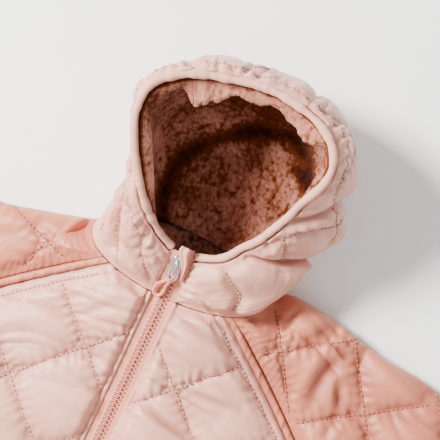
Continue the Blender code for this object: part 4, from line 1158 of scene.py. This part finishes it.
def wall_fold(points):
    """The fold along the hood's side wall: how far it stands in, and how much painted light the wall beside
    it gets.
    """
    (x0, y0), (x1, y1) = WALL_FOLD
    size = math.hypot(x1 - x0, y1 - y0)
    run = np.array([x1 - x0, y1 - y0]) / size
    dx, dy = points[..., 0] - x0, points[..., 1] - y0
    past, along = dx * run[1] - dy * run[0], (dx * run[0] + dy * run[1]) / size
    there = smooth(along * 4.0 + 1.0) * smooth((1.3 - along) * 3.0) * smooth((points[..., 2] - 6.0) / 12.0)
    wall = smooth(0.5 - past / 3.0) * there
    return 3.5 * wall * bell(np.minimum(past, 0.0), 16.0), 0.14 * wall


def shaded_wall(points, from_rim):
    """How far the pile lies in the shade under the top of the rim."""
    x, y, z = np.moveaxis(points, -1, 0)
    across = smooth((x + 42.0) / 16.0) * smooth((62.0 - x) / 18.0)
    return across * smooth((y - 104.0) / 16.0) * smooth((z - 14.0) / 16.0) * smooth((from_rim - 15.0) / 9.0)


def floor_crease(points):
    """Depth of the crease where the hood's wall turns into its floor, and the shade painted into it."""
    low = fade((points[..., 2] - 30.0) / 20.0)
    hollow = folds(points, (FLOOR_HOLLOW,), 0.0) * low
    crease = bell(to_line(points, FLOOR_CREASE)[0], 5.0) * low
    return 2.5 * crease + 5.0 * hollow, 0.4 * crease + 0.5 * hollow


# Zip


def zip_z(y):
    """Height of the fronts' edges beside the zip, up the body and then up the standing collar."""
    body = front_inner_z(np.full_like(y, ZIP_HALF), np.minimum(y, 0.0)) + SEAM_WALL
    return np.where(y > 0, NECK_FRONT_Z + COLLAR_SLOPE * y, np.minimum(body, NECK_FRONT_Z))


def over_zip(places):
    """Points over the zip, from rows of x, y and height above the fronts' edges."""
    places = np.array(places, float)
    return places + xyz(0.0, 0.0, zip_z(places[:, 1]))


def tape_cloth(side):
    """One side of the zip's tape, with the ridge that its teeth grip."""
    x = np.linspace(CHAIN_HALF - 1.4, ZIP_HALF + 0.6, TAPE_FINE[0])[:, None]
    y = np.linspace(HEM_Y + 0.5, TAPE_TOP_Y, TAPE_FINE[1])[None, :]
    relief = 0.5 * bell(x - CHAIN_HALF - 0.2, 0.5) + 0.08 * np.cos(2 * math.pi * (y + 0.6 * x) / 1.3)
    outer = xyz(side * x, y, zip_z(y) - 1.0 + relief)
    return outer, outer - xyz(0.0, 0.0, 0.9 + relief)


def teeth():
    """Moulded teeth, those of the two sides meeting in turn, each a short bar with a rounded head."""
    made = []
    wide, high = (0.35, 0.7, 0.62, 0.52, 0.78, 0.66, 0.3), (0.4, 0.75, 0.8, 0.75, 0.8, 0.7, 0.3)
    for side in (-1, 1):
        for y in np.arange(HEM_Y + 2.0 + (side > 0) * TOOTH_PITCH / 2, SLIDER_Y[0] + 1.0, TOOTH_PITCH):
            reach = np.array([3.3, 3.0, 1.9, 0.7, -0.5, -1.0, -1.2]) * side
            rise = y + 0.16 * np.abs(reach) + 0.1
            height = zip_z(rise) + np.array([-0.4, -0.2, 0.1, 0.25, 0.3, 0.25, 0.1])
            made.append(sweep(xyz(reach, rise, height), UP, wide, high, 8))
    return made


def slider_parts():
    """The slider: a shouldered plate with turned-down sides, and its bridge."""
    across = np.linspace(-1, 1, PLATE_FINE[0])[:, None]
    y = np.linspace(SLIDER_Y[0], SLIDER_Y[1] + 2.0, PLATE_FINE[1])[None, :]
    down = (y - SLIDER_Y[0]) / (SLIDER_Y[1] - SLIDER_Y[0])
    ends = np.sqrt(np.clip(1.0 - np.abs(2.0 * down / 1.12 - 1.0) ** 7, 0.02, 1.0))
    x = SLIDER_X + across * (SLIDER_HALF * (0.8 + 0.2 * smooth(down * 2.2)) * ends)
    crown = 0.9 * np.clip(1.0 - across**8, 0, 1) - 0.35 * bell(across, 0.2)
    plate = xyz(x, y, zip_z(y) + PLATE_TOP - 0.7 + crown * np.sqrt(ends) - 0.5 * (1 - ends))
    t = np.linspace(0, 1, 17)
    run = BRIDGE_Y[0] - 0.5 + (BRIDGE_Y[1] - BRIDGE_Y[0] + 1.5) * t
    rise = zip_z(run) + PLATE_TOP - 0.4 + (BRIDGE_RISE + 0.1) * np.sin(math.pi * t) ** 0.45
    return plate, xyz(x, y, zip_z(y) + 0.2), sweep(xyz(SLIDER_X, run, rise), (0, 0.2, 1.0), 1.15, 0.5, 12)


def garage_cloth():
    """The folded cover over the zip's top, like a funnel with one fold along it."""
    u, v = np.linspace(0, 1, COVER_FINE[0])[:, None], np.linspace(0, 1, COVER_FINE[1])
    free, sewn = (spline(line, v * (len(line) - 1)) for line in (GARAGE_FREE, GARAGE_SEWN))
    x, y = np.moveaxis(mix(free, sewn, u[..., None]), -1, 0)
    crown = GARAGE_CROWN * np.sin(math.pi * u) * (1.0 - 0.5 * v)
    ridges = 0.9 * np.cos(2 * math.pi * (u * 1.9 - 0.1)) * (1.0 - 0.4 * v)
    over = mix(GARAGE_UNDER, GARAGE_TIP_UNDER, smooth((v - 0.6) / 0.4)) + crown + ridges
    low = zip_z(y) + mix(over, GARAGE_SEWN_UNDER, smooth(u * 2.0 - 1.0))
    outer = xyz(x, y, low + GARAGE_WALL)
    outer[..., 2] += 0.12 * noise(outer, 3.0, COVER_SEED)
    return outer, xyz(x, y, low)


# Materials


class Nodes:
    """A node material under way: its tree, its shader, and its place in the jacket in metres."""

    def __init__(self, name, roughness, sheen=0.0, metallic=0.0, coat=0.0, gloss=0.5):
        self.material = bpy.data.materials.new(name)
        self.material.use_nodes = True
        self.tree = self.material.node_tree
        self.shader = self.tree.nodes["Principled BSDF"]
        for key, value in (
            ("Roughness", roughness), ("Metallic", metallic), ("Sheen Weight", sheen),
            ("Sheen Roughness", 0.4), ("Coat Weight", coat), ("Specular IOR Level", gloss),
        ):
            self.shader.inputs[key].default_value = value
        self.place = self.tree.nodes.new("ShaderNodeTexCoord").outputs["Object"]
        self.bump = None

    def make(self, kind, inputs=(), **settings):
        """A node of that kind, its inputs linked or set."""
        node = self.tree.nodes.new("ShaderNode" + kind)
        for key, value in settings.items():
            setattr(node, key, value)
        for key, value in dict(inputs).items():
            if isinstance(value, bpy.types.NodeSocket):
                self.tree.links.new(value, node.inputs[key])
            else:
                node.inputs[key].default_value = value
        return node

    def noise(self, size, detail=2.0):
        """Noise in lumps of about that many mm."""
        given = {"Vector": self.place, "Scale": 1.0 / (size * MM), "Detail": detail}
        return self.make("TexNoise", given).outputs["Fac"]

    def weave(self, pitch):
        """A plain weave: two crossed sets of threads that many mm apart."""
        given = {"Vector": self.place, "Scale": 0.314 / (pitch * MM)}
        waves = [self.make("TexWave", given, bands_direction=axis).outputs["Fac"] for axis in "XY"]
        return self.maths("MAXIMUM", *waves)

    def tone(self, size, detail, depth):
        """The tone written on the cloth, which holds its painted light and shade, and noise of that many mm
        and that strong added to it.
        """
        tone = self.make("Attribute", attribute_name="tone", attribute_type="GEOMETRY").outputs["Fac"]
        return self.maths("ADD", tone, self.maths("MULTIPLY", self.noise(size, detail), depth))

    def maths(self, operation, first, second):
        """The outcome of one sum."""
        return self.make("Math", {0: first, 1: second}, operation=operation).outputs[0]

    def colour(self, value, *stops):
        """Colours the shader from low to high values: stops are value and colour."""
        node = self.make("ValToRGB", {"Fac": value})
        knots = node.color_ramp.elements
        while len(knots) < len(stops):
            knots.new(0.5)
        for knot, (at, colour) in zip(knots, stops):
            knot.position = at
            knot.color = (*colour, 1.0)
        self.tree.links.new(node.outputs["Color"], self.shader.inputs["Base Color"])

    def rough(self, value, low, high):
        """Roughness from low to high."""
        node = self.make("MapRange", {"Value": value, "To Min": low, "To Max": high})
        self.tree.links.new(node.outputs["Result"], self.shader.inputs["Roughness"])

    def raise_by(self, height, depth):
        """Adds relief that many mm deep."""
        given = {"Height": height, "Distance": depth * MM, "Strength": 1.0}
        if self.bump is not None:
            given["Normal"] = self.bump
        self.bump = self.make("Bump", given).outputs["Normal"]
        self.tree.links.new(self.bump, self.shader.inputs["Normal"])


def shell_cloth(name, colour):
    """Thin woven nylon with a soft sheen, fine crinkles and slightly uneven colour, darkened towards painted
    shade where its tone is low.
    """
    made = Nodes(name, 0.45, sheen=0.08)
    shade = tuple(c * by for c, by in zip(colour, SHADING))
    made.colour(made.tone(24.0, 2.0, 0.12), (0.15, shade), (0.95, colour))
    made.rough(made.noise(9.0), 0.36, 0.5)
    made.raise_by(made.noise(5.0, 3.0), 0.35)
    made.raise_by(made.weave(0.4), 0.03)
    return made.material


def pile_coat(name):
    """Curled pile: dark red-brown between the tufts, where shade is painted, rose on their crowns."""
    made = Nodes(name, 0.95, sheen=0.05, gloss=0.15)
    tone = made.maths("SUBTRACT", made.tone(1.4, 4.0, 0.3), 0.15)
    made.colour(tone, (0.1, PILE_DEEP), (0.5, PILE_MIDDLE), (0.95, PILE_CROWN))
    made.raise_by(made.noise(0.9, 3.0), 0.5)
    return made.material


def plain_coat(name, colour, roughness, patches, relief=None, **shine):
    """One uneven colour: patches gives their size in mm and tints, relief its kind, size and depth in mm."""
    made = Nodes(name, roughness, **shine)
    size, low, high = patches
    stops = [(at, tuple(c * by for c in colour)) for at, by in ((0.3, low), (0.7, high))]
    made.colour(made.noise(size), *stops)
    if relief is not None:
        kind, size, depth = relief
        made.raise_by(made.weave(size) if kind == "weave" else made.noise(size), depth)
    return made.material


def tape_coat(name, colour):
    """Woven zip tape, ribbed along its length."""
    return plain_coat(name, colour, 0.75, (6.0, 0.95, 1.05), ("weave", 0.6, 0.1), sheen=0.2)


def plastic_coat(name, colour):
    """Moulded plastic with a satin skin."""
    return plain_coat(name, colour, 0.34, (8.0, 0.96, 1.04), ("noise", 0.8, 0.02), coat=0.15)


def thread_coat(name, colour):
    """Twisted sewing thread."""
    return plain_coat(name, colour, 0.6, (3.0, 0.93, 1.05), ("noise", 0.4, 0.05), sheen=0.3)


def metal_coat(name):
    """Bright plated metal, rubbed a little dull."""
    made = Nodes(name, 0.2, metallic=1.0)
    made.colour(made.noise(4.0), (0.3, (0.82, 0.83, 0.84)), (0.7, (0.93, 0.93, 0.93)))
    made.rough(made.noise(1.5, 3.0), 0.14, 0.28)
    made.raise_by(made.noise(1.0), 0.01)
    return made.material


# The pieces


def cloth_pieces(tapes):
    """Body, sleeves and raglan strips, each with its stitches."""
    pale, salmon = (PALE_THREAD, PALE_HOLE_SHADE_COAT, "pale_shell"), (SALMON_THREAD, SALMON_HOLE_SHADE_COAT, "salmon_shell")
    for name, side in SIDES:
        outer, inner, runs, tone = front_cloth(side)
        coats = [PALE_SHELL, PILE_COAT]
        front = cloth_mesh("front_cloth_" + name, outer, inner, coats, "pale_shell", "front_" + name, tone)
        trim = [*sewing("front_stitches_" + name, runs, *pale), tapes[name]]

        outer, inner, tone = piping_cloth(side)
        node, slot = "raglan_piping_" + name, "salmon_shell"
        strip = cloth_mesh("piping_cloth_" + name, outer, inner, [SALMON_SHELL], slot, node, tone)

        outer, inner, runs, tone = sleeve_cloth(name)
        coats = [SALMON_SHELL, PILE_COAT]
        sleeve = cloth_mesh("sleeve_cloth_" + name, outer, inner, coats, slot, "sleeve_" + name, tone)
        trim = [*sewing("sleeve_stitches_" + name, runs, *salmon), strip]

    inner, outer, tone = back_cloth()
    coats = [PILE_COAT, PALE_SHELL]
    back = cloth_mesh("back_cloth", inner, outer, coats, "pale_shell", "back_panel", tone, every=3)


def hood_pieces():
    """Shell and pile of the hood's three panels, and the binding round its rim."""
    binding = rim_binding()
    stops = (0, LEFT_SEAM_ROW, RIGHT_SEAM_ROW, LAST)
    for k, name in enumerate(("right", "centre", "left")):
        start, end = stops[k:k + 2]
        outer, inner, runs, tone = hood_cloth(start, end, HOOD_SEEDS[name], HOOD_LINES[name])
        node = "hood_" + name
        shell = cloth_mesh("hood_shell_" + name, outer, inner, [PALE_SHELL], "pale_shell", node, tone)
        sewn = sewing("hood_stitches_" + name, runs, PALE_THREAD, PALE_HOLE_SHADE_COAT, "pale_shell")
        pile, behind, tone = pile_cloth(start, end)
        node = "hood_lining_" + name
        lining = cloth_mesh("hood_pile_" + name, pile, behind, [PILE_COAT], "pile_lining", node, tone)


def rim_binding():
    """The rolled binding, ribbed by the elastic inside it."""
    line = rim_line(BINDING_POINTS)
    at = xyz(run_of(line), 0.0, 0.0)
    pull = elastic_pull(np.linspace(0, LAST, BINDING_POINTS))
    ribs = 1.0 + 0.07 * noise(at, 2.6, BINDING_SEED) + (0.05 + 0.08 * pull) * noise(at, 5.0, BINDING_SEED + 1)
    out = unit((line - np.array([*HOOD_CENTRE, 0.0])) * np.array([1.0, 1.0, 0.0]))
    ups, wide = out * 0.6 + np.array([0, 0, 0.8]), BINDING_RADIUS * ribs
    tube = sweep(line, ups, wide, wide * 1.02, 20)
    return joined("rim_binding", [tube], BINDING, "pale_shell", "hood_binding")


def zip_pieces():
    """Tapes, teeth, slider and cover. Returns the tapes and the cover."""
    tapes = {
        name: cloth_mesh("tape_" + name, *tape_cloth(side), [TAPE], "zip_tape", "zip_tape_" + name)
        for name, side in SIDES
    }
    joined("zip_teeth", teeth(), PLASTIC, "zip_plastic", "zip_chain")
    plate, under, bridge = slider_parts()
    cloth_mesh("slider_plate", plate, under, [METAL], "slider_metal", "zip_slider")
    joined("slider_bridge", [bridge], METAL, "slider_metal", "zip_slider")

    outer, inner = garage_cloth()
    # Painted light and shade: the cover's tone is lighter where it stands higher and darker where it lies
    # lower.
    tone = np.clip(0.7 + 0.2 * (outer[..., 2] - outer[..., 2].mean(axis=0)), 0, 1)
    return tapes, cloth_mesh("garage_cloth", outer, inner, [PALE_SHELL], "pale_shell", "zip_garage", tone)


def pull_pieces():
    """The pull: one cord through the bridge, knotted, and carried on round inside its moulded grip."""
    left, right, grip = over_zip(CORD_LEFT), over_zip(CORD_RIGHT), over_zip(GRIP)
    guide = np.vstack([left, grip[::-1], right[::-1]])
    route = spline(guide, np.linspace(0, len(guide) - 1, 40)) * MM
    data = bpy.data.curves.new("pull_cord", "CURVE")
    data.dimensions = "3D"
    run = data.splines.new("POLY")
    run.points.add(len(route) - 1)
    for knot, place in zip(run.points, route):
        knot.co = (*place, 1.0)
    data.bevel_depth, data.bevel_resolution, data.use_fill_caps = CORD_RADIUS * MM, 4, True
    cord = dressed("pull_cord", data, [CORD], "cord", "pull_cord_left", "pull_cord_right")

    t = np.linspace(0, 1, 60)
    thick = GRIP_RADIUS * (0.75 + 0.35 * np.sin(math.pi * t) ** 0.8)
    handle = sweep(spline(grip, t * (len(grip) - 1)), UP, thick, thick, 16)
    handle = joined("grip", [handle], PLASTIC, "zip_plastic", "pull_grip")

    turn = np.linspace(0, 2.6 * 2 * math.pi, 90)
    middle = 0.5 * (left[-1] + right[-1]) + np.array([-0.1, -0.9, 0.1])
    wrap = xyz(1.9 * np.cos(turn), 0.9 * (turn / turn[-1] - 0.5) * 2.0, 1.25 * np.sin(turn))
    knot = joined("pull_knot", [sweep(middle + wrap, wrap, CORD_RADIUS, CORD_RADIUS, 10)], CORD, "cord")


def stage():
    """Camera over the jacket, pale floor, and soft studio light from the upper left."""
    camera = placed("camera", bpy.data.cameras.new("camera"))
    camera.data.sensor_width, camera.data.lens = 36.0, CAMERA_LENS
    camera.location, camera.rotation_euler = CAMERA_PLACE, (0.0, 0.0, math.radians(CAMERA_TURN))
    bpy.context.scene.camera = camera

    mesh = bpy.data.meshes.new("floor")
    corners = [(x * FLOOR_HALF, y * FLOOR_HALF, 0) for x, y in ((-1, -1), (1, -1), (1, 1), (-1, 1))]
    mesh.from_pydata(corners, [], [(0, 1, 2, 3)])
    mesh.materials.append(plain_coat("floor", FLOOR, 0.9, (60.0, 0.995, 1.0)))
    floor = placed("floor", mesh)
    floor.location = (0, 0, -0.0005)

    for name, place, size, power in LIGHTS:
        lamp = bpy.data.lights.new(name, "AREA")
        lamp.size, lamp.energy, lamp.color = size, power, LIGHT_COLOUR
        light = placed(name, lamp)
        light.location = place
        light.rotation_euler = (Vector(LIGHT_AIM) - light.location).to_track_quat("-Z", "Y").to_euler()
    world = bpy.data.worlds.new("studio")
    world.use_nodes = True
    sky = world.node_tree.nodes["Background"].inputs
    sky["Color"].default_value, sky["Strength"].default_value = SKY_COLOUR, SKY
    bpy.context.scene.world = world


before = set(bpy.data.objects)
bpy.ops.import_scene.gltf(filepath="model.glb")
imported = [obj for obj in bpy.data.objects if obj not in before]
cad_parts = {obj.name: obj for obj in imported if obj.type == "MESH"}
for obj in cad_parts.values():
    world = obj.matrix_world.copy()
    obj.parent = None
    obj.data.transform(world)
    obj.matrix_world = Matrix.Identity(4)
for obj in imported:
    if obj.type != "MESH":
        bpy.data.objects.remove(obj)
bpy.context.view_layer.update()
PALE_SHELL, SALMON_SHELL = shell_cloth("pale_shell", PALE_PINK), shell_cloth("salmon_shell", SALMON)
PILE_COAT, BINDING = pile_coat("pile"), tape_coat("binding", PALE_PINK)
TAPE, CORD = tape_coat("tape", TAPE_PINK), tape_coat("cord", TAPE_PINK)
PLASTIC, METAL = plastic_coat("plastic", TAPE_PINK), metal_coat("metal")
PALE_THREAD, SALMON_THREAD = thread_coat("pale_thread", PALE_PINK), thread_coat("salmon_thread", SALMON)
PALE_HOLE_SHADE_COAT, SALMON_HOLE_SHADE_COAT = thread_coat("pale_hole_shade", PALE_PAINTED_HOLE_SHADE), thread_coat("salmon_hole_shade", SALMON_PAINTED_HOLE_SHADE)

stage()
pull_pieces()
tapes, garage = zip_pieces()
cloth_pieces(tapes)
hood_pieces()
